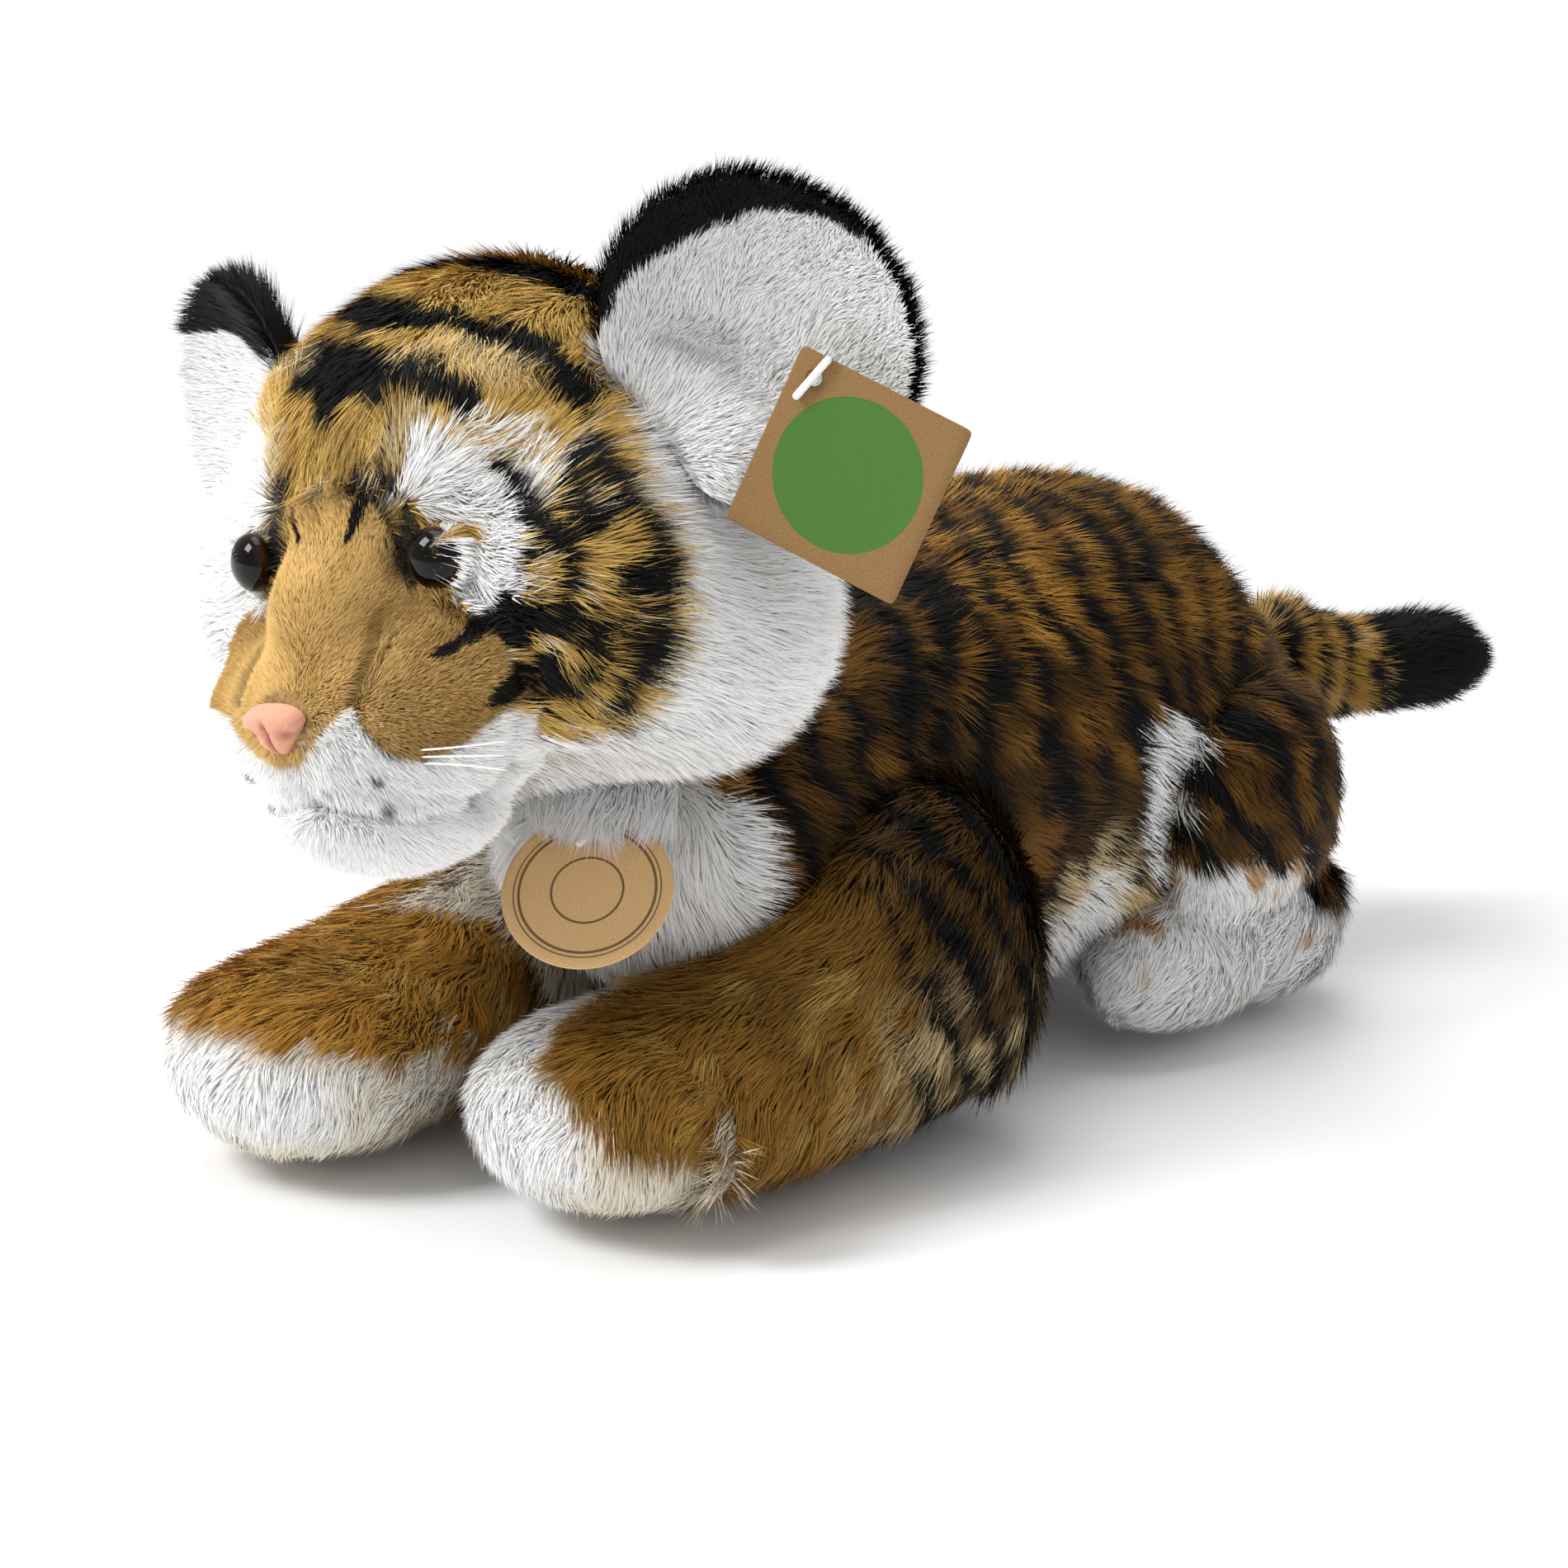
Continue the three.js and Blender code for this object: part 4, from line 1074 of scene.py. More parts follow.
class Leg(StuffedPart):
    """What the four legs share: a sleeve and a toe cap in one backing and one coat."""

    kind = ""
    seeds: dict[int, int] = {}
    slot = "striped_pile"
    pile_height = 5.6
    pile_length = 13
    # painted shade at the strands' roots: how bright a dark strand's root stays
    shaded_root_brightness = 0.4

    def __init__(self, side: int) -> None:
        """Takes the side, 1 for left and -1 for right, and names the leg's body and its nodes."""
        self.side = side
        self.body = f"{self.kind}_{SIDES[side]}"
        self.nodes = tuple(f"{self.body}_{part}" for part in ("sleeve", "toe_cap", "filling"))
        self.seed = self.seeds[side]
        super().__init__()
        self.drop = 0
        self.drop = -0.5 - self.form()[..., 2].min()

    def form(self) -> Array:
        """The leg's outer form as a grid."""
        raise NotImplementedError

    def flow(self, roots: Roots) -> Array:
        """The direction that the pile is combed in."""
        raise NotImplementedError

    def grow(self) -> None:
        """Makes the backing and the coat."""
        outer = Skin(self.form())
        skin = Skin(on_floor(outer.sunk(self.pile_height).points, 1.5))
        self.backing(f"{self.body}_backing", skin)
        roots = skin.scatter(self.strands(self.count), self.random)
        roots = roots.keep(far_from(roots.points, TRUNK.form(), 15))
        self.coat(f"{self.body}_coat", roots, self.growth(roots))

    def growth(self, roots: Roots) -> Growth:
        """Long pile on the sleeve, denser and shorter on the toes and the sole."""
        comb = tangent(self.flow(roots), roots.normals)
        seen = self.seen(roots, comb, 3.5)
        sole = 1 - rise(roots.points[:, 2], 3, 16)
        white = self.white_share(seen)
        return Growth(
            lengths=self.pile_length * (1 - 0.36 * white) * (1 - 0.4 * sole),
            leans=columns(48 + 6 * white, 77 + 4 * white),
            comb=comb,
            tints=self.tints(seen),
            width=0.4,
            tuft=2.6,
            tuft_size=6,
            shaded_root_brightness=self.shaded_root_brightness,
        )


class Foreleg(Leg):
    """A front leg, stretched forward on the floor."""

    kind = "foreleg"
    seeds = {1: 200, -1: 230}
    ways = {
        1: ((56, 84, 60), (56, 58, 55), (56, 26, 42), (51, -6, 33), (44, -38, 29)),
        -1: ((-56, 84, 60), (-56, 58, 55), (-54, 16, 42), (-46, -36, 33), (-37, -78, 29)),
    }
    widths = (26, 32, 33, 37, 43, 42)
    heights = (40, 47, 37, 31, 29, 28)
    toe = 40
    heading = 14
    top_ovals = {1: (17, 27, 33), -1: (-2, 43, 29)}  # its middle, half width and reach ahead
    lit_and_shaded_tones = {1: (0.4, 0.45), -1: (0, 0.65)}  # painted light and shade: how much brown and how much gold goes into its colour, more brown on the shaded left leg and more gold on the lit right leg
    ends = (0.14, 0.2)
    count = 66000
    shaded_root_brightness = 0.48

    @property
    def top_oval(self) -> tuple[float, float, float]:
        """The brown oval on top of this paw."""
        return self.top_ovals[self.side]

    @property
    def ahead(self) -> Array:
        """The way the paw points."""
        angle = math.radians(self.heading)
        return np.array([math.sin(angle), -math.cos(angle), 0])

    @property
    def paw(self) -> Array:
        """The middle of the paw."""
        return np.array(self.ways[self.side][-1], float)

    def form(self) -> Array:
        """The leg as a stuffed tube from behind the shoulder to the toes."""
        spine = [*self.ways[self.side], tuple(self.paw + self.toe * self.ahead)]
        grid = stuffed_form(spine, self.widths, self.heights, self.ends, 70, 64)
        grid[..., 2] += self.drop
        return grid

    def paw_place(self, places: Array) -> tuple[Array, Array]:
        """How far each place lies ahead of the paw's middle, and how far towards its left."""
        offset = places - self.paw
        across = np.cross([0, 0, 1], self.ahead)
        return offset @ self.ahead, offset @ across

    def oval(self, places: Array) -> Array:
        """1 at the edge of the brown oval on top of the paw, less inside it and more outside."""
        ahead, left = self.paw_place(places)
        middle, half, reach = self.top_oval
        return np.hypot(np.maximum(ahead, 0) / reach, (left - middle) / half)

    def white_share(self, places: Array) -> Array:
        """Where the paw is white: outside the oval on its top, and along its lower edge."""
        ahead, left = self.paw_place(places)
        fine = NOISE(places + 5, 8)[:, 0]
        edge = rise(self.oval(places) + 0.12 * fine, 0.92, 1.08) * rise(ahead, -34, -14)
        low = (1 - rise(places[:, 2] + 3 * fine, 27, 34)) * rise(ahead, -30, -12)
        outer = rise(left - self.top_oval[0], 4, 22) * (1 - rise(ahead + 6 * fine, 2, 22))
        return np.maximum(edge, low) * (1 - outer * (self.side > 0))

    def beside_bib(self, places: Array) -> Array:
        """Where the right leg takes the bib's white: inwards of a slanting line, near the chest."""
        x, y, _ = places.T
        inwards = rise(y - 0.93 * (x + 43), -46, -40) * rise(x, -52, -44)
        return inwards * (1 - rise(y, 10, 30)) * (self.side < 0)

    def tints(self, places: Array) -> Array:
        """Plain golden brown forearm, striped towards the shoulder, with the white of the paw; the left leg
        is painted browner as shade and the right one more golden as light.
        """
        x, y, z = places.T
        warp = NOISE(places + 31, 26)
        fine = NOISE(places + 47, 7)
        # painted shade and light: the left leg's brown and the right leg's extra gold come from how the
        # light falls on them
        shade_brown_share, light_gold_share = self.lit_and_shaded_tones[self.side]
        base = mixed(INKS.paw, INKS.brown, rise(warp[:, 0], -0.1, 0.6) * 0.25 + shade_brown_share)
        base = mixed(base, INKS.gold, rise(fine[:, 1], 0.1, 0.7) * light_gold_share)
        rear = rise(y - self.paw[1], 46, 78)
        base = mixed(base, INKS.brown, rear * 0.95)
        outer = rise(self.side * x, 62, 84) * (1 - rise(z, 30, 70))
        outer *= rise(y - self.paw[1], 30, 70)
        base = mixed(base, INKS.straw, outer * rise(fine[:, 0], -0.5, 0.4))
        wave = np.cos(2 * np.pi * (y + 0.5 * z + 8 * warp[:, 1] + 2 * fine[:, 2]) / 15)
        dark = rise(wave + 0.7 * fine[:, 0], 0, 0.5) * rear
        colours = mixed(base, INKS.black, dithered(dark, self.random))
        white = dithered(np.maximum(self.white_share(places), self.beside_bib(places)), self.random, 0.4)
        edge = 1 - rise(self.oval(places) + 0.15 * fine[:, 0], 1, 1.25)
        return mixed(colours, mixed(INKS.white, INKS.cream, edge * 0.8), white)

    def flow(self, roots: Roots) -> Array:
        """Along the leg and a little down, and straight down over the toes."""
        forward = tangent(self.ahead, roots.normals)
        down = np.array([0, 0, -1])
        ahead, _ = self.paw_place(roots.points)
        leg = mixed(roots.along, forward, rise(ahead, -30, 0)) + 0.4 * down
        facing = rise(roots.normals @ self.ahead, 0.2, 0.7) * rise(ahead, 0, 20)
        return mixed(leg, down[None] + 0.3 * leg, facing)


class Hindleg(Leg):
    """A hind leg, folded beside the rump, with its foot flat on the floor."""

    kind = "hindleg"
    seeds = {1: 260, -1: 290}
    centre = (53, 172, 46)
    heading = 10
    blend = 26
    lobes = (
        Lobe((0, 6, 24), (24, 38, 40)),
        Lobe((-4, 23, -17), (27, 32, 27)),
        Lobe((-8, -12, -18), (27, 40, 25)),
    )
    count = 58000

    def form(self) -> Array:
        """The leg as a blended form."""
        lobes = self.lobes if self.side > 0 else [lobe.mirrored() for lobe in self.lobes]
        grid = lobed_form(lobes, self.blend, 60, 72) @ turn("Z", self.side * self.heading).T
        grid = grid + np.array([self.side * self.centre[0], *self.centre[1:]])
        grid[..., 2] += self.drop
        return grid

    def white_share(self, places: Array) -> Array:
        """Where the foot is white: below a line that falls towards the heel."""
        y, z = places[:, 1], places[:, 2]
        fine = NOISE(places + 5, 8)[:, 0]
        line = np.interp(y, [142, 158, 180, 203], [60, 63, 56, 38])
        return 1 - rise(z + 5 * fine, line - 5, line + 3)

    def tints(self, places: Array) -> Array:
        """Striped thigh, pale towards its front, over a white foot with tan specks on top."""
        y, z = places[:, 1], places[:, 2]
        warp = NOISE(places + 31, 26)
        fine = NOISE(places + 47, 7)
        base = mixed(INKS.brown, INKS.tawny, rise(fine[:, 1], -0.2, 0.6) * 0.9)
        wave = np.cos(2 * np.pi * (y + 0.6 * z + 8 * warp[:, 1] + 2 * fine[:, 2]) / 17)
        dark = rise(wave + 0.7 * fine[:, 0], -0.1, 0.4)
        colours = mixed(base, INKS.black, dithered(dark, self.random))
        front = 1 - rise(y - 0.45 * (z - 70) + 3 * fine[:, 0], 136, 141)
        front *= 1 - rise(z, 96, 104)
        foot_share = self.white_share(places)
        white = np.maximum(foot_share, front)
        specks = rise(fine[:, 2] + rise(z, 38, 56), 0.65, 0.95) * foot_share * (1 - front)
        foot = mixed(INKS.white, INKS.paw, specks * 0.85)
        return mixed(colours, foot, dithered(white, self.random, 0.25))

    def flow(self, roots: Roots) -> Array:
        """Down the thigh and back, and forward along the foot."""
        low = 1 - rise(roots.points[:, 2], 30, 60)
        thigh = np.array([0.1 * self.side, 0.45, -0.9])
        return mixed(thigh, np.array([[0.2 * self.side, -0.7, -0.6]]), low)


# Tail


class Tail(StuffedPart):
    """The short tail, banded, with a black tip."""

    body = "tail"
    slot = "striped_pile"
    nodes = ("tail_sleeve", "tail_tip", "tail_filling")
    seed = 320
    spine = ((0, 232, 94), (6, 266, 83), (24, 312, 83))
    radii = (18, 15.5, 15)
    ends = (0.2, 0.18)
    pile_height = 5.5
    band_step = 12
    tip_start = 271
    count = 28000

    def tints(self, places: Array) -> Array:
        """Black and gold bands along the tail, then the black tip."""
        fine = NOISE(places + 3, 8)
        run = places[:, 1] + 0.4 * places[:, 0]
        wave = np.cos(2 * np.pi * (run + 3 * fine[:, 0]) / self.band_step)
        base = mixed(INKS.amber, INKS.straw, rise(fine[:, 1], -0.2, 0.6) * 0.6)
        dark = rise(wave + 0.5 * fine[:, 2], -0.25, 0.4)
        tip = rise(places[:, 1], self.tip_start - 3, self.tip_start + 2)
        colours = mixed(base, INKS.black, dithered(np.maximum(dark, tip), self.random, 0.35))
        return mixed(colours, INKS.black, rise(places[:, 1], self.tip_start, self.tip_start + 8))

    def grow(self) -> None:
        """Makes the backing and the coat."""
        outer = Skin(stuffed_form(self.spine, self.radii, self.radii, self.ends, 48, 48))
        skin = outer.sunk(self.pile_height)
        self.backing("tail_backing", skin)
        roots = skin.scatter(self.strands(self.count), self.random)
        comb = tangent(roots.along + np.array([0, 0, -0.15]), roots.normals)
        count = len(roots.points)
        growth = Growth(
            lengths=np.full(count, 12),
            leans=np.array([40, 62]),
            comb=comb,
            tints=self.tints(self.seen(roots, comb, 3)),
            width=0.38,
            tuft=1.6,
        )
        self.coat("tail_coat", roots, growth)


# Head


class Head(StuffedPart):
    """The large turned head: crown, brow, cheeks, muzzle, lips, chin and ruff."""

    body = "head"
    slot = "golden_pile"
    nodes = (
        "crown_panel",
        "muzzle_panel",
        "ruff_left",
        "ruff_right",
        "lip_left",
        "lip_right",
        "chin_panel",
        "head_filling",
    )
    seed = 360

    centre = np.array([0, -40, 160])
    pose = turn("Z", 12) @ turn("Y", -9.5) @ turn("X", 2)
    blend = 14
    lobes = (
        Lobe((0, 6, 8), (70, 64, 70)),
        Lobe((0, -22, 28), (48, 37, 36)),
        Lobe((43, -22, -3), (34, 32, 37)),
        Lobe((-43, -22, -3), (34, 32, 37)),
        Lobe((40, 12, -17), (43, 44, 39)),
        Lobe((-40, 12, -17), (43, 44, 39)),
        Lobe((0, -46, -24), (52, 38, 26)),
        Lobe((0, -44, 0), (21, 33, 23)),
        Lobe((0, -50, -46), (30, 28, 19)),
    )
    pile_height = 7
    bridge_middle = 4
    # half width and height of the short tan pile's edge, and place across and height of its lower edge
    muzzle_line = ((0, 33), (11, 30), (14, 26), (16, 20), (18, 14), (20, 10))
    muzzle_line += ((29, 6), (38, 1), (47, -7), (52, -18))
    lip_line = ((-52, -22), (-32, -18), (-22, -19), (-14, -25), (-5, -31), (3, -29), (8, -24), (13, -19))
    lip_line += ((18, -16), (23, -22), (28, -29), (34, -31.5), (42, -29), (50, -22), (54, -18))
    lip_ends = ((31, -46), (41, -39), (48, -29), (51.5, -20))  # how far the lips reach to the side by height
    arc_line = ((-40, -36), (-29, -29), (-15, -26), (-7, -22), (5, -19), (28, -17), (44, -12))
    eye_place = np.array([31, -54.5, 14])
    eye_axis = eye_place * [0.5, 1, 0.5]
    nose_tip = np.array([0, -88, -14])
    long_count = 212000
    short_count = 760000
    rim_count = 1000000
    brow_middle = np.array([24, -58, 30])
    eye_corner = np.array([23.5, -58.0, 13.0])  # the near eye's inner corner, round which a shadow is painted
    whisker_dots = ((20, -78, -34), (19, -75, -41), (11, -79, -41), (5, -81, -36), (29, -73, -38))

    crown_bands = Mark(
        "black",
        (
            Stroke(((0, 60, 44, 4.5), (28, 58, 36, 4.5), (48, 48, 20, 4))),
            Stroke(((0, 68, 20, 4.5), (30, 62, 14, 4.5), (48, 50, 2, 4))),
            Stroke(((0, 66, -6, 4), (30, 60, -14, 4))),
            Stroke(((0, 44, 66, 4.5), (26, 44, 58, 4.5), (44, 40, 44, 4))),
            Stroke(((0, 25, 77, 5), (20, 25, 74, 6), (38, 24, 62, 5))),
            Stroke(((-12, 3, 78, 5), (12, 3, 76, 6), (28, 6, 71, 6), (40, 9, 64, 4.5))),
        ),
        spread=0.3,
    )
    brow_bands = Mark(
        "black",
        (
            Stroke(((-24, -12, 68, 5), (-10, -21, 70, 6.5), (4, -27, 69, 6.5))),
            Stroke(((4, -27, 69, 6.5), (13, -27, 68, 4), (22, -23, 68, 3))),
            Stroke(((23, -25, 66, 3), (33, -22, 61, 6), (43, -19, 56, 7), (51, -19, 47, 6.5))),
            Stroke(((-24, -33, 60, 6), (-12, -39, 61, 8.5), (3, -42, 59, 9))),
            Stroke(((3, -42, 59, 9), (16, -43, 56, 6.5), (34, -40, 50, 4.5))),
            Stroke(((0, -45, 57, 6), (2, -50, 51, 5))),
        ),
        mirrored=False,
        spread=0.3,
    )
    straw_tufts = Mark(
        "straw",
        (
            Stroke(((14, -38, 60, 3), (26, -33, 61, 5), (38, -30, 55, 6))),
            Stroke(((24, -48, 46, 4), (20, -54, 38, 4))),
        ),
        spread=0.42,
        share=0.62,
    )
    cheek_marks = Mark(
        "black",
        (
            Stroke(((61, -26, 34, 3), (68, -25, 21, 3.5), (72, -24, 11, 3.8)), 4),
            Stroke(((72, -24, 11, 3.8), (75, -27, -2, 3.8), (73, -29, -14, 3)), 4),
            Stroke(((73, -30, -14, 4), (70, -34, -21, 3), (63, -38, -28, 1.5)), 4),
            Stroke(((45, -42, 33, 1.2), (54, -44, 23, 2.4), (59, -44, 14, 3.2))),
            Stroke(((57, -31, 31, 2.2), (63, -37, 20, 2.2), (64, -45, 7, 2))),
            Stroke(((66, -36, 16, 1.2), (70, -28, 18, 1.6)), soft=4),
            Stroke(((73, -33, 4, 1.8), (71, -36, -7, 1.8), (66, -44, -6, 1.8)), soft=4),
            Stroke(((61, -45, -19, 1.2), (67, -39, -14, 1.5)), soft=4),
            Stroke(((32, -63, -7, 0.3), (36, -58, -3, 1.4), (43, -54, 0, 2.6))),
            Stroke(((43, -54, 0, 2.6), (51, -53, -1, 3.6), (58, -50, -2, 3.4))),
            Stroke(((43, -64, -22, 0.3), (47, -59, -18, 1.6), (52, -55, -15, 2.6), (58, -50, -14, 2.6))),
        ),
        mirrored=False,
        spread=0.35,
    )
    far_cheek_marks = Mark(
        "black",
        (
            Stroke(((-62, -21, 34, 5), (-69, -21, 21, 6), (-76, -22, 0, 7))),
            Stroke(((-76, -22, 0, 7), (-73, -27, -18, 5), (-65, -34, -28, 2))),
        ),
        mirrored=False,
    )
    inner_brow = Mark(
        "soot",
        (
            Stroke(((13, -57, 37, 1.5), (17, -57, 30, 2.8), (20, -57, 25, 3.2))),
            Stroke(((20, -57, 25, 3.2), (23, -57, 19, 3.2), (24, -58, 11, 3.2))),
        ),
        spread=0.42,
    )
    seam = Stroke(((24, -60, 7, 0.3), (19, -64, 0, 0.3), (19, -71, -6, 0.3), (18, -78, -15, 0.3)), 3)
    cleft = Stroke(((-2, -84, -26, 0.4), (-3, -83, -32, 0.4), (-2, -81, -39, 0.4)), 3.5)
    mouth = Stroke(((-2, -81, -39, 0.8), (12, -77, -43, 0.8), (24, -66, -45.5, 0.8), (33, -48, -44, 0.6)), 4)
    bridge_marks = Mark(
        "black",
        (
            Stroke(((16, -57, 32, 1.2), (13, -60, 26, 1), (10, -63, 20, 0.3)), soft=1.6),
            Stroke(((-8, -60, 31, 1.2), (-9, -62, 26, 0.9), (-6, -64, 20, 0.3)), soft=1.6),
        ),
        mirrored=False,
        spread=0.3,
    )
    muzzle_rim = Stroke(
        ((0, -60, 32, 2), (16, -59, 24, 2), (24, -57, 11, 2), (36, -53, 3, 2), (51, -53, -8, 2)), 8
    )
    brow_end = (47, -49, 16, 4.5)
    white_tufts = Mark(
        "white",
        (
            Stroke(((29, -52, 40, 3.5), (31, -53, 33, 7.5), (38, -50, 29, 7), (45, -47, 25, 5), brow_end)),
            Stroke(((40, -52, 14, 3), (37, -54, 6, 2.5), (42, -53, 6, 4.5))),
            Stroke(((42, -53, 6, 4.5), (47, -51, 7, 5.5), (52, -50, 9, 3))),
        ),
        spread=0.3,
    )
    white_streaks = Mark(
        "white",
        (Stroke(((38, -45, 42, 5), (50, -36, 36, 6), (54, -42, 24, 4))),),
        spread=0.42,
        share=0.6,
    )

    long_marks = (
        crown_bands,
        brow_bands,
        straw_tufts,
        white_streaks,
        white_tufts,
        cheek_marks,
        far_cheek_marks,
    )

    def local(self, points: Array) -> Array:
        """Points in the head's own frame."""
        return (points - self.centre) @ self.pose

    def placed(self, points: Array) -> Array:
        """Points of the head's own frame in the toy's frame."""
        return points @ self.pose.T + self.centre

    def outside(self, points: Array, margin: float) -> Array:
        """Whether each point lies outside the head shrunk by a margin."""
        own = self.local(points)
        away = np.linalg.norm(own, axis=1)
        reach = lobed_reach(self.lobes, self.blend, unit(own))
        return away > reach - margin

    def muzzle_share(self, own: Array) -> Array:
        """1 on the short tan pile: in front of the cheeks, inside the muzzle line, above the lips."""
        x, y, z = own.T
        side = np.abs(x - self.bridge_middle * rise(z, -5, 18))
        line = np.array(self.muzzle_line, float)
        half = np.interp(z, line[::-1, 1], line[::-1, 0])
        inside = (1 - rise(side, half - 1.2, half + 1.2)) * self.above_lip(own)
        return inside * (y < -20) * (z < 33)

    def above_lip(self, own: Array) -> Array:
        """1 above the lip line and 0 below it."""
        lips = np.array(self.lip_line, float)
        low = np.interp(own[:, 0], lips[:, 0], lips[:, 1])
        return rise(own[:, 2], low - 1, low + 1)

    def lip_share(self, own: Array) -> Array:
        """1 on the white lips and chin, below the muzzle and in front of the cheeks."""
        ends = np.array(self.lip_ends, float)
        side = np.abs(own[:, 0]) - np.interp(own[:, 2], ends[:, 1], ends[:, 0])
        return (1 - self.above_lip(own)) * (1 - rise(side, -2, 2)) * (own[:, 1] < -34)

    def ruff_share(self, own: Array) -> Array:
        """1 on the white ruff: behind the dark arc of the cheek and below the ear, and underneath."""
        side, y, z = folded(own).T
        arc = np.array(self.arc_line, float)
        line = np.interp(z, arc[:, 0], arc[:, 1])
        behind = rise(y, line - 3, line + 8) * rise(side, 40, 46) * (1 - rise(z, 38, 48))
        edge = -30.5 - 0.25 * (70 - side) - 0.3 * (y + 40)
        return np.maximum(behind, 1 - rise(z, edge - 2, edge + 3))

    def tints(self, places: Array) -> Array:
        """The face's markings, painted region by region in the head's own frame, with a painted shadow at
        the near eye's inner corner.
        """
        own = self.local(places)
        fine = NOISE(own + 19, 6)
        nudged = own + 1.8 * fine
        colours = self.long_tints(own, fine)
        for mark in self.long_marks:
            colours = mark.lay(colours, nudged, self.random)
        colours = mixed(colours, INKS.white, dithered(self.ruff_share(nudged), self.random))
        colours = self.inner_brow.lay(colours, nudged, self.random)

        muzzle = self.muzzle_share(own)
        colours = mixed(colours, self.tan_tints(own, fine), muzzle)
        marked = self.bridge_marks.lay(self.cheek_marks.lay(colours, own, self.random), own, self.random)
        # painted shadow: dark umber on the muzzle round the near eye's inner corner
        eye_corner_shadow = 1 - rise(np.linalg.norm(own - self.eye_corner, axis=1), 2, 8)
        marked = mixed(marked, INKS.umber, eye_corner_shadow * 0.85)
        colours = np.where(muzzle[:, None] > 0.5, marked, colours)
        lips = mixed(colours, INKS.white, self.lip_share(own))
        for dot in self.whisker_dots:
            near = np.linalg.norm(folded(own) - np.array(dot), axis=1)
            lips = mixed(lips, INKS.soot, 0.9 * (1 - rise(near, 1.4, 2.7)))
        return lips

    def long_tints(self, own: Array, fine: Array) -> Array:
        """Gold with pale streaks on the forehead, a black and pale mottle on the cheek, and white afar."""
        side, y, z = folded(own).T
        warp = NOISE(own + 57, 15)
        streaks = NOISE(own * [1, 0.4, 0.4] + 7, 3)[:, 0]
        colours = mixed(INKS.gold, INKS.amber, rise(fine[:, 0], -0.1, 0.7) * 0.7)

        forehead = (1 - rise(z, 50, 58)) * rise(z, 24, 30) * (side < 30)
        colours = mixed(colours, INKS.cream, forehead * rise(streaks + 0.4 * warp[:, 0], 0.2, 0.6) * 0.7)
        colours = mixed(colours, INKS.brown, forehead * rise(warp[:, 1], 0, 0.5) * 0.6)

        inner = np.interp(z, [-42, -20], [26, 40])
        cheek = rise(side, inner, inner + 10) * (1 - rise(z, 34, 44)) * (y < 2)
        mottle = NOISE(own * [1, 0.5, 1] + 83, 4.6)[:, 0] + 0.35 * fine[:, 2]
        colours = mixed(colours, INKS.cream, dithered(cheek * rise(streaks, 0, 0.5), self.random) * 0.75)
        colours = mixed(colours, INKS.black, dithered(cheek * rise(mottle, -0.05, 0.8), self.random))
        far = (own[:, 0] < 0) * rise(side, 26, 30) * (z < 46) * (1 - rise(y, -34, -28))
        return mixed(colours, INKS.white, dithered(far, self.random, 0.3))

    def tan_tints(self, own: Array, fine: Array) -> Array:
        """The muzzle's tan, darker to the sides and along its seam, with single pale strands."""
        side = np.abs(own[:, 0])
        tan = mixed(INKS.tan, INKS.amber, rise(fine[:, 0], -0.1, 0.8) * 0.3)
        tan = mixed(tan, INKS.tawny, rise(side + 5 * fine[:, 1], 12, 34) * 0.62)
        tan = mixed(tan, INKS.straw, 0.5 * (self.random.random(len(own)) < 0.14))
        return mixed(tan, INKS.umber, 0.45 * self.seam.strength(folded(own)))

    def pile_heights(self, points: Array) -> Array:
        """How far the backing lies under the outer form at each point."""
        own = self.local(points)
        crown = rise(own[:, 2], 38, 56)
        return self.pile_height - 4.8 * self.muzzle_share(own) - 3.4 * self.lip_share(own) - 1.8 * crown

    def skin(self) -> Skin:
        """The backing: the outer form sunk by the pile's height, with the muzzle's seams pressed in."""
        grid = self.placed(lobed_form(self.lobes, self.blend, 150, 160))
        outer = Skin(grid)
        flat = outer.points.reshape(-1, 3)
        heights = self.pile_heights(flat)
        own = self.local(flat)
        heights = heights + 2.6 * self.seam.strength(folded(own))
        heights += 2.5 * self.cleft.strength(own) + 4 * self.mouth.strength(folded(own))
        return outer.sunk(heights.reshape(grid.shape[:2]))

    def grow(self) -> None:
        """Makes the backing, the long coats left and right, and the short coat of the face."""
        skin = self.skin()
        self.backing("head_backing", skin)
        roots = skin.scatter(self.strands(self.long_count), self.random)
        long = roots.keep(~self.on_face(roots) & (self.from_eye(roots) > 5))
        left = self.local(long.points)[:, 0] > 0
        for side, mask in (("left", left), ("right", ~left)):
            part = long.keep(mask)
            self.coat(f"head_coat_{side}", part, self.long_growth(part))
        face = skin.scatter(self.strands(self.short_count), self.random)
        own = self.local(face.points)
        bare = np.linalg.norm((own - [-1, -80, -19]) / [8.5, 14, 6.5], axis=1) < 1
        seen = self.on_face(face) & (self.from_eye(face) > 6) & ~bare
        for side, mask in (("left", own[:, 0] > 0), ("right", own[:, 0] <= 0)):
            part = face.keep(seen & mask)
            self.coat(f"face_coat_{side}", part, self.short_growth(part), "tan_pile")
        self.eye_rims(skin)

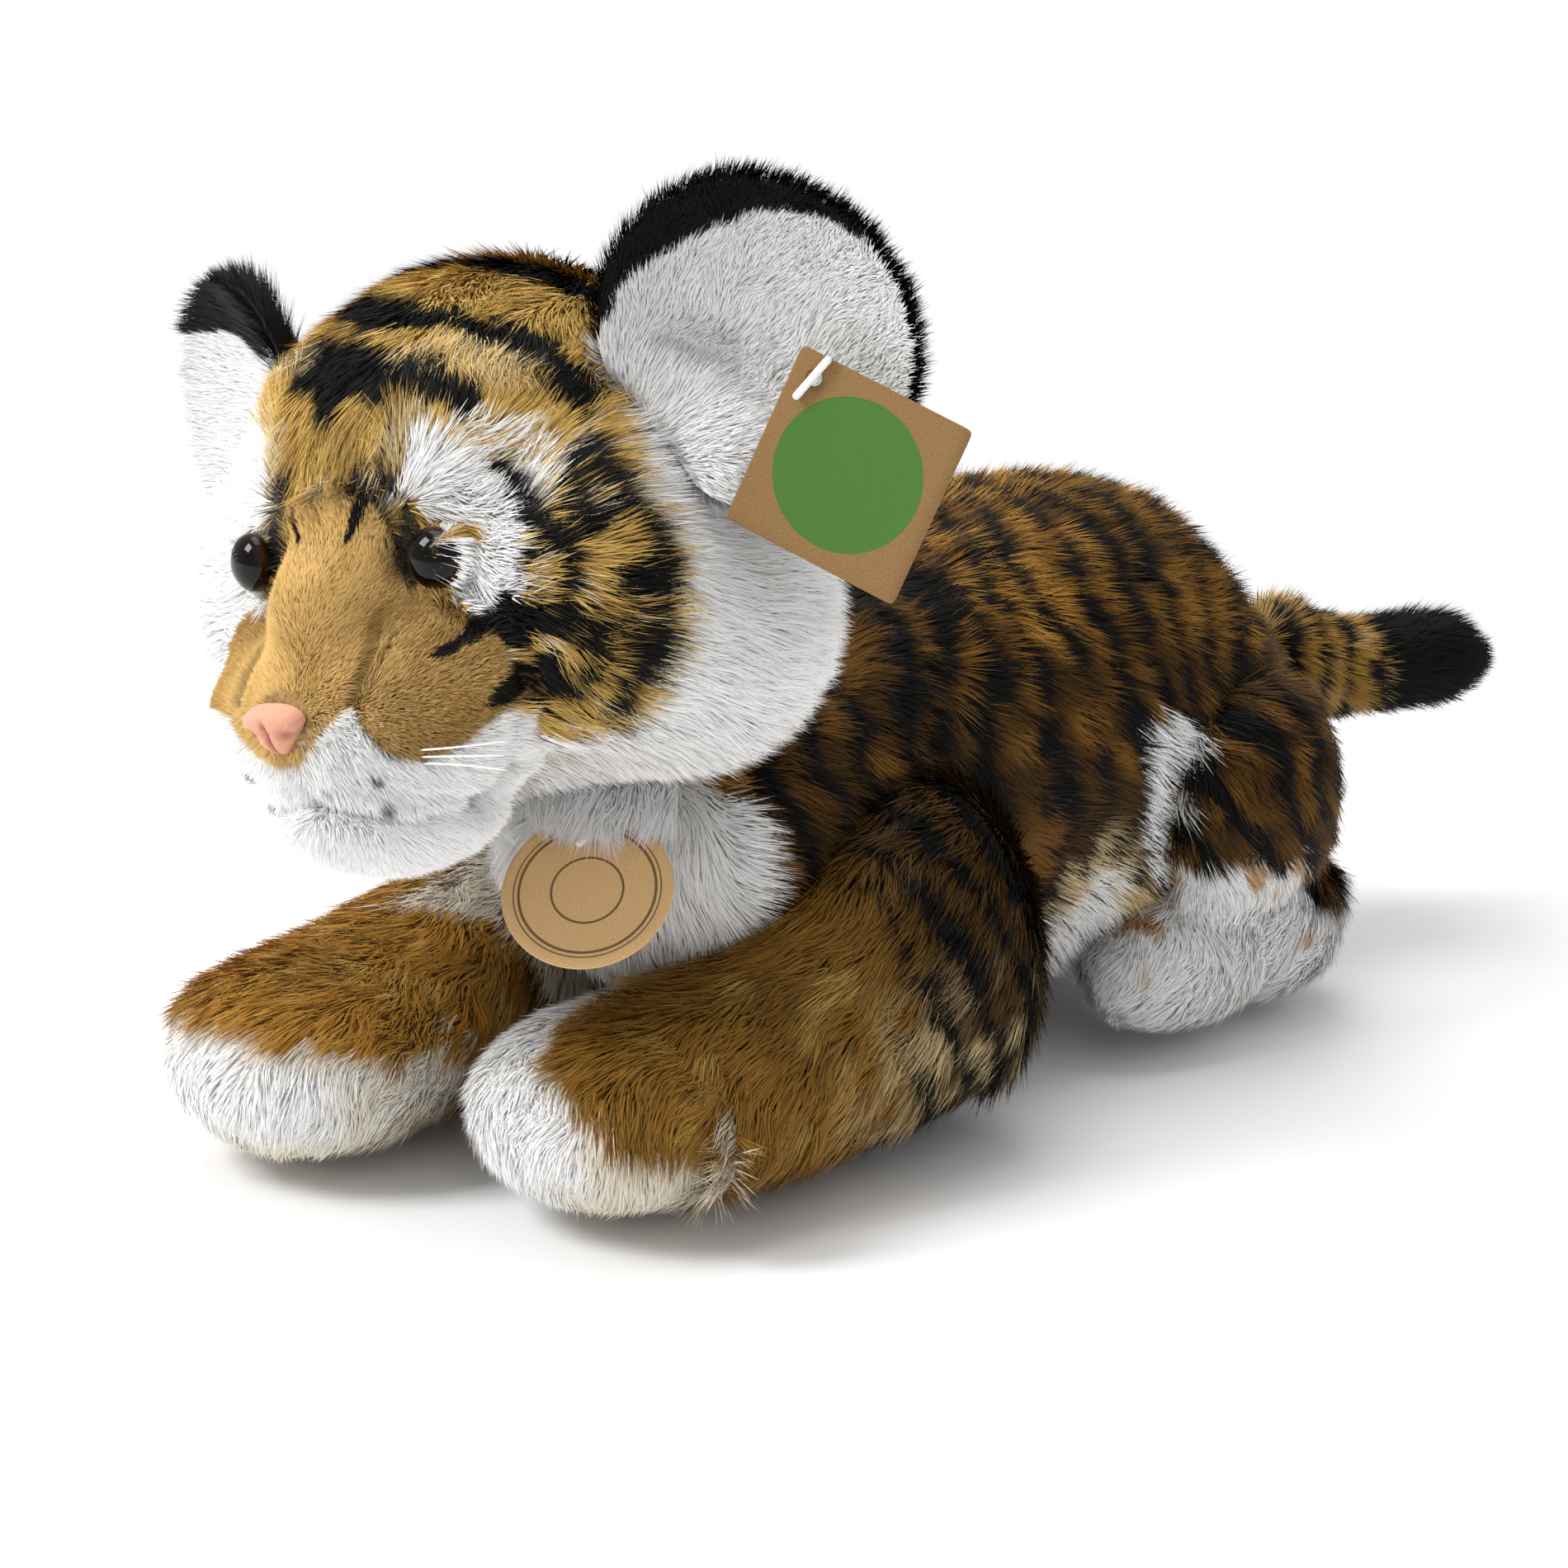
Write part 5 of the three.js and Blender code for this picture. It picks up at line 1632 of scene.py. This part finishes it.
    def eye_rims(self, skin: Skin) -> None:
        """Grows the pile that stands close round each eye and leans over its edge."""
        roots = skin.scatter(self.strands(self.rim_count), self.random)
        away = self.from_eye(roots)
        roots = roots.keep((away > 6.8) & (away < 9.4))
        own = self.local(roots.points)
        middle = self.eye_place * columns(np.sign(own[:, 0]), 1, 1)
        comb = tangent((middle - own) @ self.pose.T, roots.normals)
        heights = self.pile_heights(roots.points)
        growth = Growth(
            lengths=(heights + 4.4) / 0.85,
            leans=np.array([6, 44]),
            comb=comb,
            tints=self.tints(roots.points + roots.normals * heights[:, None]),
            width=0.3,
            tuft=1,
            tuft_size=4,
        )
        self.coat("eye_rim_coat", roots, growth)

    def on_face(self, roots: Roots) -> Array:
        """Which roots lie on the short pile of the muzzle, the lips and the chin."""
        own = self.local(roots.points + roots.normals * 3)
        return np.maximum(self.muzzle_share(own), self.lip_share(own)) > 0.5

    def from_eye(self, roots: Roots) -> Array:
        """How far each root lies from the nearer eye's axis, with more than 9 mm along it added in."""
        offset = folded(self.local(roots.points)) - self.eye_place - [0.8, 0.6, -0.8]
        axis = unit(self.eye_axis)
        depth = offset @ axis
        beside = np.linalg.norm(offset - depth[:, None] * axis, axis=1)
        return np.hypot(beside, np.maximum(np.abs(depth) - 9, 0))

    def comb(self, roots: Roots) -> Array:
        """Which way the pile lies: forward over the crown, out from the brow, back over the cheeks.

        Four directions are blended by smooth steps of place: away from the nose and a little down,
        away from the middle of the brow, forward and down on the crown, and down at the back.
        """
        own = self.local(roots.points)
        side, y, z = folded(own).T
        away = unit(own - self.nose_tip)
        cheek = rise(side, 34, 56) * (1 - rise(z, 30, 50))
        flow = away + np.array([0, 0.15, -0.5]) * cheek[:, None]
        brow = unit(own - columns(22 * np.sign(own[:, 0]), -60, 27))
        near = np.linalg.norm(folded(own) - self.brow_middle, axis=1)
        flow = mixed(flow, brow, (1 - rise(near, 22, 42)) * rise(side, 12, 20))
        crown = columns(0.5 * own[:, 0] / 50, -1, -0.7)
        top = rise(z + 0.35 * side, 60, 70)
        middle = (1 - rise(side, 12, 22)) * rise(z, 26, 34)
        forward = np.maximum(top, middle) * (1 - rise(y, 16, 34))
        flow = mixed(flow, crown, forward)
        flow = mixed(flow, np.array([0, 0.3, -1]), rise(y, 20, 40) * rise(z, -30, 0))
        return tangent(flow @ self.pose.T, roots.normals)

    def long_growth(self, roots: Roots) -> Growth:
        """Long pile, longest on the cheeks and the ruff, shorter beside the muzzle."""
        own = folded(self.local(roots.points))
        side, _, z = own.T
        cheek = rise(side, 34, 56) * (1 - rise(z, 30, 50))
        brow = self.white_tufts.strokes[0].strength(own)
        near = self.muzzle_rim.strength(own)
        crown = rise(z, 38, 56)
        comb = self.comb(roots)
        lay = 2.5 + 2.5 * crown + 4 * cheek + 2.5 * brow
        return Growth(
            lengths=(10 + 4 * cheek + 2.5 * brow + 2 * crown) * (1 - 0.3 * near),
            leans=columns(40 + 8 * near + 6 * crown, 66 + 4 * near + 12 * crown),
            comb=comb,
            tints=self.tints(self.seen(roots, comb, lay[:, None])),
            width=0.33,
            tuft=1.6,
            tuft_size=5,
            shaded_root_brightness=0.45 + 0.27 * crown,
        )

    def short_growth(self, roots: Roots) -> Growth:
        """Dense short pile on the muzzle, a little longer on the lips and chin."""
        own = self.local(roots.points + roots.normals * 3)
        lips = self.lip_share(own)
        nose = self.placed(self.nose_tip[None])
        count = len(own)
        return Growth(
            lengths=3.4 + 2.6 * lips,
            leans=np.array([38, 60]),
            comb=tangent(roots.points - nose, roots.normals),
            tints=self.tints(roots.points + roots.normals * 3),
            width=0.26,
            tuft=0.9,
            tuft_size=3.5,
            shaded_root_brightness=0.72,
        )


# Ears


class Ear(StuffedPart):
    """A cupped round ear: white in front, black behind and round the rim."""

    radius = 42
    tall_share = 0.95
    thickness = 12
    cup = 13
    root_depth = 12
    rim_share = 0.82
    # how far out the white reaches, by the angle from the ear's upper edge towards its tip
    white_edges = ((-180, 1.3), (-62, 1.3), (-42, 0.8), (0, 0.62), (30, 0.62))
    white_edges += ((60, 0.74), (90, 0.84), (120, 0.91), (180, 0.96))
    crease = Stroke(((14, 0, -19, 0), (2, 0, -12, 1), (-14, 0, -9, 0)), 6)
    stands = {
        1: {"spread": 60, "back": 8, "up": 36, "outward": 24, "lean": 58},
        -1: {"spread": 59, "back": 8, "up": 28, "outward": 22, "lean": 68},
    }
    slot = "white_pile"
    seeds = {1: 420, -1: 450}
    pile_height = 3.6
    count = 52000

    def __init__(self, side: int) -> None:
        """Names the ear's body and the nodes that it stands for."""
        self.side = side
        self.body = f"ear_{SIDES[side]}"
        self.nodes = (f"{self.body}_front", f"{self.body}_back")
        self.seed = self.seeds[side]
        super().__init__()
        stand = self.stands[side]
        self.turned = turn("Z", side * stand["outward"]) @ turn("Y", side * stand["lean"])
        self.root = self.root_depth - self.radius * self.tall_share
        self.foot = np.array([side * stand["spread"], stand["back"], stand["up"]])

    def placed(self, points: Array) -> Array:
        """Points of the ear's own frame in the toy's frame."""
        return HEAD.placed((points - [0, 0, self.root]) @ self.turned.T + self.foot)

    def local(self, points: Array) -> Array:
        """Points in the ear's own frame."""
        return (HEAD.local(points) - self.foot) @ self.turned + [0, 0, self.root]

    def form(self) -> Array:
        """The ear's backing as a grid from the middle of its front over the rim to the middle of its back.

        The surface curls forward by cup times the distance out squared, and its thickness falls with
        the square root of one less rim share times the distance out to the fourth.
        """
        steps = 34
        out = np.sin(np.pi / 2 * np.arange(steps + 1) / steps)
        out = np.concatenate([out, out[::-1]])[:, None]
        share = np.concatenate([np.full(steps + 1, -0.5), np.full(steps + 1, 0.5)])[:, None]
        angle = -round_angles(96)[None]
        x = (self.radius - self.pile_height) * out * np.cos(angle)
        z = (self.radius * self.tall_share - self.pile_height) * out * np.sin(angle)
        thick = (self.thickness - 2 * self.pile_height) * np.sqrt(1 - self.rim_share * out**4)
        y = -self.cup * out**2 + share * thick + 0 * x
        upper = -self.side * x
        fold = self.crease.strength(columns(upper, 0, z).reshape(-1, 3)).reshape(z.shape)
        swell = 5 * np.exp(-(((upper + 17) / 12) ** 2) - ((z + 20) / 16) ** 2)
        hollow = (4 * fold - swell) * (share < 0)
        grid = columns(x, y + hollow, np.maximum(z, self.root - 4))
        return self.placed(grid)

    def tints(self, places: Array) -> Array:
        """White in front as far as the rim's inner edge, black behind."""
        own = self.local(places)
        out = np.hypot(own[:, 0] / self.radius, own[:, 2] / (self.radius * self.tall_share))
        fine = NOISE(places + 11, 7)
        angle = np.degrees(np.arctan2(own[:, 2], -self.side * own[:, 0]))
        edge = np.interp(angle, *np.array(self.white_edges).T)
        if self.side < 0:
            edge += 0.3 * rise(angle, 60, 80) - 0.26 * np.exp(-(((angle - 10) / 40) ** 2))
        rim = rise(out + 0.03 * fine[:, 0], edge, edge + 0.07)
        front = 1 - rise(own[:, 1] + self.cup * out**2, 0, 2)
        white = front * (1 - rim)
        base = mixed(INKS.black, INKS.soot, rise(fine[:, 1], 0.2, 0.9) * 0.3)
        return mixed(base, INKS.white, dithered(white, self.random, 0.25))

    def grow(self) -> None:
        """Makes the backing and the coat."""
        skin = Skin(self.form())
        self.backing(f"{self.body}_backing", skin)
        roots = skin.scatter(self.strands(self.count), self.random)
        roots = roots.keep(HEAD.outside(roots.points, 12))
        own = self.local(roots.points)
        outward = self.placed(own + unit(own * [1, 0, 1] + [0, 0, 44])) - roots.points
        comb = tangent(outward, roots.normals)
        rim = rise(np.hypot(own[:, 0] / self.radius, own[:, 2] / (self.radius * self.tall_share)), 0.78, 1)
        tuft = rise(-self.side * own[:, 0], 14, 30) * rise(-own[:, 2], -8, 6) * (self.side < 0)
        growth = Growth(
            lengths=5.8 + 2.2 * rim + 9 * rim * tuft,
            leans=columns(54 - 26 * rim, 76 - 30 * rim),
            comb=comb,
            tints=self.tints(self.seen(roots, comb, 2)),
            width=0.28,
            tuft=1,
            tuft_size=5,
            shaded_root_brightness=0.5,
        )
        self.coat(f"{self.body}_coat", roots, growth)


# Eyes, nose and whiskers


def tube(line: Array, across: Array, tall: Array, half: Array, sides: int) -> Array:
    """A grid of circles round a line, each of its own half width, in the plane of two directions."""
    angle = round_angles(sides)[:, None]
    ring = across[..., None, :] * np.cos(angle) + tall[..., None, :] * np.sin(angle)
    return line[:, None] + half[:, None, None] * ring


def stand_on(at: Array, facing: Array) -> tuple[Array, Array]:
    """The frame of a fitting on the head: its axes as columns, in the toy's frame, and its place."""
    z = unit(facing)
    x = unit(np.cross([0, 0, 1], z))
    y = np.cross(z, x)
    return HEAD.pose @ columns(x, y, z), HEAD.placed(at[None])[0]


class Eye:
    """A glossy domed safety eye."""

    radius = 7.4
    bulge = 5.6
    sunk = 1.3  # how far the pile takes it in

    def __init__(self, side: int) -> None:
        """Takes the side: 1 for left and -1 for right."""
        self.side = side
        self.name = f"eye_{SIDES[side]}"

    def grow(self) -> None:
        """Makes the dome: rows from its crown to its edge and round to a shallow back."""
        mirror = np.array([self.side, 1, 1])
        axes, place = stand_on(HEAD.eye_place * mirror, HEAD.eye_axis * mirror)
        rows, sides = 28, 64
        polar = np.pi * np.arange(rows + 1) / rows
        out, high = np.sin(polar), np.cos(polar)
        height = np.where(high > 0, self.bulge * high, 0.3 * self.bulge * high)
        angle = round_angles(sides)
        x = self.radius * out[:, None] * np.cos(angle)
        y = self.radius * out[:, None] * np.sin(angle)
        skin = Skin(columns(x, y, height[:, None] - self.sunk) @ axes.T + place)
        piece = skin.piece(f"{self.name}_dome")
        spots = columns((out + (high < 0))[:, None], np.zeros(sides))
        lay_spots(piece, "dome", skin.vertex_rows(spots))
        dress(piece, "head", "eye_plastic", FINISHES.eye, (self.name,))


class Nose:
    """A flocked nose pad: a rounded triangle with a groove down its middle."""

    width = 18.6
    height = 14.6
    depth = 5.5
    forward = 82
    across = -1
    up = -19
    tilt = 18

    def grow(self) -> None:
        """Makes the pad: rings that shrink towards its crown, over a flat back.

        The outline's half size at an angle is that of an ellipse times one less a share of how far
        the angle points down and sideways, which makes a triangle with round corners.
        """
        angle_down = math.radians(self.tilt)
        facing = np.array([0, -math.cos(angle_down), -math.sin(angle_down)])
        axes, place = stand_on(np.array([self.across, -self.forward, self.up]), facing)
        rows, sides = 40, 120
        polar = np.pi * np.arange(rows + 1) / rows
        angle = round_angles(sides)
        out = np.sin(polar)[:, None] ** 0.6
        x = np.cos(angle) * out
        y = np.sin(angle) * out
        narrow = 1 - 0.62 * rise(-y, -0.25, 1)
        x = x * narrow * self.width / 2
        y = y * (1 - 0.28 * np.maximum(y, 0)) * self.height / 2
        y = y + 0.6 * np.abs(x) / self.width * self.height * 0.12
        high = np.cos(polar)[:, None] + 0 * x
        z = np.where(high > 0, self.depth * high**0.6, 2 * high)
        front = high > 0
        groove = np.exp(-((x / 0.8) ** 2)) * rise(-y, -5, -1)
        nostril = np.exp(-(((np.abs(x) - 5.6) / 2.4) ** 2) - ((y + 0.6) / 1.7) ** 2)
        z = z - front * (1.1 * groove + 1.3 * nostril)
        grid = columns(x, y, z)
        skin = Skin(grid @ axes.T + place)
        piece = skin.piece("nose_pad")
        # painted shade: the tint darkens to a deep brown in the groove and the nostrils
        pale, deep = linear("#dfa387"), linear("#965541")
        shade = np.clip(0.9 * groove + 0.8 * nostril, 0, 1) * front
        paint(piece, TINT, skin.vertex_rows(mixed(pale, deep, shade)))
        dress(piece, "head", "nose_flock", FINISHES.flock, ("nose",))


class Whiskers:
    """Three nylon whiskers on one side, rooted in the lip."""

    thickness = 0.24
    length = 30
    rooted = 4
    droop = 1.2
    # turn of the root, height in the lip, turn of the free part and its rise, as shares
    row_shares = ((0.44, 0.83, 1.04, 0.1), (0.45, 0.755, 0.99, 0.06), (0.46, 0.68, 0.97, 0))
    lip_heights = (-46, -24)

    def __init__(self, side: int) -> None:
        """Takes the side: 1 for left and -1 for right."""
        self.side = side

    def way(self, shares: tuple[float, float, float, float]) -> Array:
        """The points of one whisker: a curve of the second order through its root, bow and end."""
        root_turn, height_share, aim_turn, lift = shares
        quarter = np.pi / 2

        def turned(share: float, z: float) -> Array:
            """A direction turned from straight ahead towards the side."""
            return np.array([self.side * math.sin(share * quarter), -math.cos(share * quarter), z])

        outward, aim = turned(root_turn, 0), turned(aim_turn, lift)
        low, high = self.lip_heights
        lobe = HEAD.lobes[6]
        height = low + (high - low) * height_share
        surface = np.array([lobe.radii[0] * outward[0], lobe.at[1] + lobe.radii[1] * outward[1], height])
        root = surface - outward * self.rooted
        free = surface + aim * self.length
        bow = (root + free) / 2 + outward * self.droop
        bow[2] = height + self.droop
        t = np.linspace(0, 1, 25)[:, None]
        return (1 - t) ** 2 * root + 2 * t * (1 - t) * bow + t**2 * free

    def grow(self) -> None:
        """Makes each whisker as a thin tube that narrows to its end."""
        for k, shares in enumerate(self.row_shares):
            line = self.way(shares)
            along = unit(np.gradient(line, axis=0))
            across = unit(np.cross(along, [0, 0, 1]))
            tall = np.cross(across, along)
            run = np.linspace(0, 1, len(line))
            half = self.thickness * np.sqrt(np.clip(1 - run**4, 0, 1))
            half[0] = 0
            node = f"whisker_{SIDES[self.side]}_{k + 1}"
            grid = HEAD.placed(tube(line, across, tall, half, 8))
            dress(Skin(grid).piece(f"{node}_filament"), "head", "nylon", FINISHES.whisker, (node,))


# Tags


class Tag:
    """A card tag on a plastic pin: the hole is the frame's origin and the card hangs below it."""

    thickness = 0.7
    hole_radius = 2
    pin_gap = 0.3

    def __init__(self, name: str, holder: str, hole: tuple, facing: float, tilt: float) -> None:
        """Takes the name of the tag and its body, the body that holds its pin, and how it hangs."""
        self.name = name
        self.holder = holder
        self.hole = np.array(hole, float)
        self.axes = turn("Z", facing) @ turn("X", 90 - tilt)

    def placed(self, points: Array) -> Array:
        """Points of the tag's frame in the toy's frame."""
        return points @ self.axes.T + self.hole

    def outline(self, angle: Array) -> Array:
        """The card's edge at each angle round the hole."""
        raise NotImplementedError

    def finish(self) -> CardFinish:
        """The card's finish."""
        raise NotImplementedError

    def curl(self, flat: Array) -> Array:
        """How far the card bows off its plane at each place."""
        return 0.5 * np.sin(flat[..., 0] / 14) * np.cos(flat[..., 1] / 17)

    def card(self) -> None:
        """Makes the card: rings from the hole's wall out over the front, round the edge and back."""
        sides = 240
        angle = round_angles(sides)
        edge = self.outline(angle)
        hole = self.hole_radius * columns(np.cos(angle), np.sin(angle))
        shares = np.linspace(0, 1, 14)[:, None, None]
        face = hole + (edge - hole) * shares
        half = self.thickness / 2
        bevel = face[-1] * 0.996
        loops = [*face[:-1], bevel, face[-1], face[-1], bevel, *face[-2::-1], face[0]]
        heights = [*[half] * 14, half * 0.6, -half * 0.6, *[-half] * 14, half]
        flat = np.array(loops)
        z = np.array(heights)[:, None] + self.curl(flat) * 0.35
        z = z - half - self.pin_gap
        points = np.concatenate([flat, z[..., None]], axis=-1)
        rows = len(loops)
        row, side = np.meshgrid(np.arange(rows - 1), np.arange(sides), indexing="ij")
        here, beside = row * sides + side, row * sides + (side + 1) % sides
        quads = columns(here, here + sides, beside + sides, beside).reshape(-1, 4)
        closed = quads % ((rows - 1) * sides)
        count = (rows - 1) * sides
        piece = make_piece(
            f"{self.name}_card", self.placed(points.reshape(-1, 3)[:count]), closed, np.empty((0, 3), int)
        )
        lay_spots(piece, "card", flat.reshape(-1, 2))
        dress(piece, self.name, "card", self.finish().material(), (self.name,))

    def pin(self) -> None:
        """Makes the pin: a round bar across the hole and a thin stem through it."""
        turn_bar = math.radians(50)
        bar = np.array([math.cos(turn_bar), math.sin(turn_bar), 0])
        parts = [
            (bar * -6.6 + [0, 0, 1], bar * 6.6 + [0, 0, 1], 0.95),
            (np.array([0, 0, -9]), np.array([0, 0, 1]), 0.45),
        ]
        for name, (start, end, radius) in zip(("bar", "stem"), parts, strict=True):
            spine = [start + (end - start) * share for share in (0, 0.33, 0.67, 1)]
            along = unit(end - start)
            across = unit(np.cross(along, [0.3, 0.5, 0.2]))
            tall = np.cross(along, across)
            run = (1 - np.cos(np.pi * np.arange(21) / 20)) / 2
            centres = run_through(spine, run, carry_on=True)
            length = np.linalg.norm(end - start)
            near = np.minimum(run, 1 - run) * length / radius
            half = radius * np.sqrt(1 - (1 - np.minimum(near, 1)) ** 2)
            grid = tube(centres, across, tall, half, 16)
            piece = Skin(self.placed(grid)).piece(f"{self.name}_pin_{name}")
            nodes = (f"{self.name}_pin",) if name == "bar" else ()
            dress(piece, self.holder, "nylon", FINISHES.pin, nodes)

    def grow(self) -> None:
        """Makes the card and its pin."""
        self.card()
        self.pin()


class HangTag(Tag):
    """The square tag at the ear, turned about the hole near its corner."""

    side = 45
    inset = 8
    turned = 23
    field = 18.3  # radius of the green field

    def middle(self) -> Array:
        """The middle of the square."""
        reach = self.side / 2 - self.inset / math.sqrt(2)
        angle = math.radians(-self.turned)
        spin = np.array([[math.cos(angle), -math.sin(angle)], [math.sin(angle), math.cos(angle)]])
        return spin @ np.array([reach, -reach])

    def outline(self, angle: Array) -> Array:
        """A square with slightly round corners: the edge lies where a direction from its middle meets it."""
        spin = -math.radians(self.turned)
        even = np.pi * 3 / 4 + angle
        direction = columns(np.cos(even), np.sin(even))
        reach = (np.abs(direction) ** 40).sum(-1) ** (-1 / 40) * self.side / 2
        square = direction * reach[:, None]
        cos, sin = math.cos(spin), math.sin(spin)
        turned = square @ np.array([[cos, sin], [-sin, cos]])
        edge = turned + self.middle()
        order = np.argsort(np.arctan2(edge[:, 1], edge[:, 0]) % (2 * np.pi))
        return edge[order]

    def finish(self) -> CardFinish:
        """Kraft card with a plain green field, its browns darkened as painted shade."""
        kraft = ("#765635", "#8c6c44", "#9d7d4f")
        return CardFinish("hang_tag_card", Print.GREEN_FIELD, tuple(self.middle()), self.field, kraft)


class ChestTag(Tag):
    """The round tag on the chest."""

    radius = 21.5
    inset = 5

    def outline(self, angle: Array) -> Array:
        """A circle whose top edge lies just above the hole."""
        direction = columns(np.cos(angle), np.sin(angle))
        low = self.inset - self.radius
        down = direction[:, 1] * low
        reach = down + np.sqrt(self.radius**2 - low**2 + down**2)
        return direction * reach[:, None]

    def finish(self) -> CardFinish:
        """Kraft card with plain rings, its browns lightened as painted light."""
        middle = (0, self.inset - self.radius)
        kraft = ("#c89c68", "#e0b680", "#ecc894")
        return CardFinish("chest_tag_card", Print.RINGS, middle, self.radius, kraft)


# Studio


class Studio:
    """The camera at the photograph's angle, soft lamps, a pale floor and a white surround."""

    target = np.array([64.16, -92.29, 110]) * MM
    azimuth = 50
    elevation = 17
    distance = 0.92
    lens = 85
    level = 0.6  # the world's light on the toy
    lamps = (("key_lamp", (-0.6, -1.5, 1.5), 0.8, 34), ("top_lamp", (-0.3, 0.1, 1.9), 1.4, 21))
    lamp_target = (0, -0.02, 0.09)
    floor_reach = 6
    shadow_ends = (0.36, 0.62)  # where the floor starts to fade to white, and where it is white

    def place_camera(self) -> None:
        """Looks from the photograph's side at the toy."""
        turned, raised = math.radians(self.azimuth), math.radians(self.elevation)
        back = Vector(
            (
                math.sin(turned) * math.cos(raised),
                -math.cos(turned) * math.cos(raised),
                math.sin(raised),
            )
        )
        data = bpy.data.cameras.new("camera")
        data.lens, data.sensor_width, data.sensor_fit = self.lens, 36, "AUTO"
        data.clip_start, data.clip_end = 0.05, 20
        camera = bpy.data.objects.new("camera", data)
        camera.location = Vector(self.target) + back * self.distance
        camera.rotation_euler = back.to_track_quat("Z", "Y").to_euler()
        bpy.context.scene.collection.objects.link(camera)
        bpy.context.scene.camera = camera

    def add_lamp(self, name: str, place: Sequence, size: float, power: float) -> None:
        """Adds a square soft lamp that points at the toy."""
        data = bpy.data.lights.new(name, "AREA")
        data.energy, data.size = power, size
        lamp = bpy.data.objects.new(name, data)
        lamp.location = place
        aim = Vector(place) - Vector(self.lamp_target)
        lamp.rotation_euler = aim.to_track_quat("Z", "Y").to_euler()
        bpy.context.scene.collection.objects.link(lamp)

    def surround(self) -> None:
        """White to the camera and to gloss, and a level light for the toy."""
        shader = Shader("surround", world=True)
        seen = shader.node("ShaderNodeLightPath", output="Is Camera Ray")
        level, white = (
            shader.node("ShaderNodeBackground", {"Color": (1, 1, 1, 1), "Strength": strength})
            for strength in (self.level, 1)
        )
        both = shader.node("ShaderNodeMixShader", {0: seen, 1: level, 2: white})
        shader.node("ShaderNodeOutputWorld", {"Surface": both})
        bpy.context.scene.world = shader.made

    def floor(self) -> None:
        """A wide white floor that keeps the toy's shadow."""
        reach = self.floor_reach
        mesh = bpy.data.meshes.new("floor")
        mesh.from_pydata(
            [(-reach, -reach, 0), (reach, -reach, 0), (reach, reach, 0), (-reach, reach, 0)],
            [],
            [(0, 1, 2, 3)],
        )
        floor = bpy.data.objects.new("floor", mesh)
        shader = Shader("studio_floor")
        place = shader.node("ShaderNodeTexCoord", output="Object")
        away = shader.value("ShaderNodeVectorMath", {0: place}, "Value", operation="LENGTH")
        start, end = self.shadow_ends
        ranges = {"Value": away, 1: start, 2: end, 3: 0, 4: 1}
        fade = shader.value("ShaderNodeMapRange", ranges, interpolation_type="SMOOTHSTEP")
        seen = shader.value("ShaderNodeLightPath", output="Is Camera Ray") * fade
        paper = {"Base Color": (0.97, 0.97, 0.97, 1), "Roughness": 0.9}
        matte = shader.node("ShaderNodeBsdfPrincipled", paper)
        glow = shader.node("ShaderNodeEmission", {"Color": (1, 1, 1, 1), "Strength": 1})
        both = shader.node("ShaderNodeMixShader", {0: seen, 1: matte, 2: glow})
        shader.node("ShaderNodeOutputMaterial", {"Surface": both})
        mesh.materials.append(shader.made)
        bpy.context.scene.collection.objects.link(floor)

    def build(self) -> None:
        """Sets up everything round the toy."""
        self.place_camera()
        self.surround()
        self.floor()
        for lamp in self.lamps:
            self.add_lamp(*lamp)
        bpy.context.scene.view_settings.view_transform = "Standard"


HEAD = Head()
TRUNK = Trunk()
FORELEGS = [Foreleg(1), Foreleg(-1)]
HINDLEGS = [Hindleg(1), Hindleg(-1)]


def main() -> None:
    """Builds the studio and every part of the toy."""
    logging.basicConfig(level=logging.INFO, format="%(name)s: %(message)s")
    Studio().build()
    parts = [TRUNK, *FORELEGS, *HINDLEGS, Tail(), HEAD, Ear(1), Ear(-1), Eye(1), Eye(-1), Nose()]
    parts += [Whiskers(1), Whiskers(-1)]
    parts.append(HangTag("hang_tag", "ear_left", hole=(94, -18, 219), facing=32, tilt=6))
    parts.append(ChestTag("chest_tag", "trunk", hole=(35, -38, 99), facing=40, tilt=46))
    for part in parts:
        part.grow()


if __name__ == "__main__":
    main()
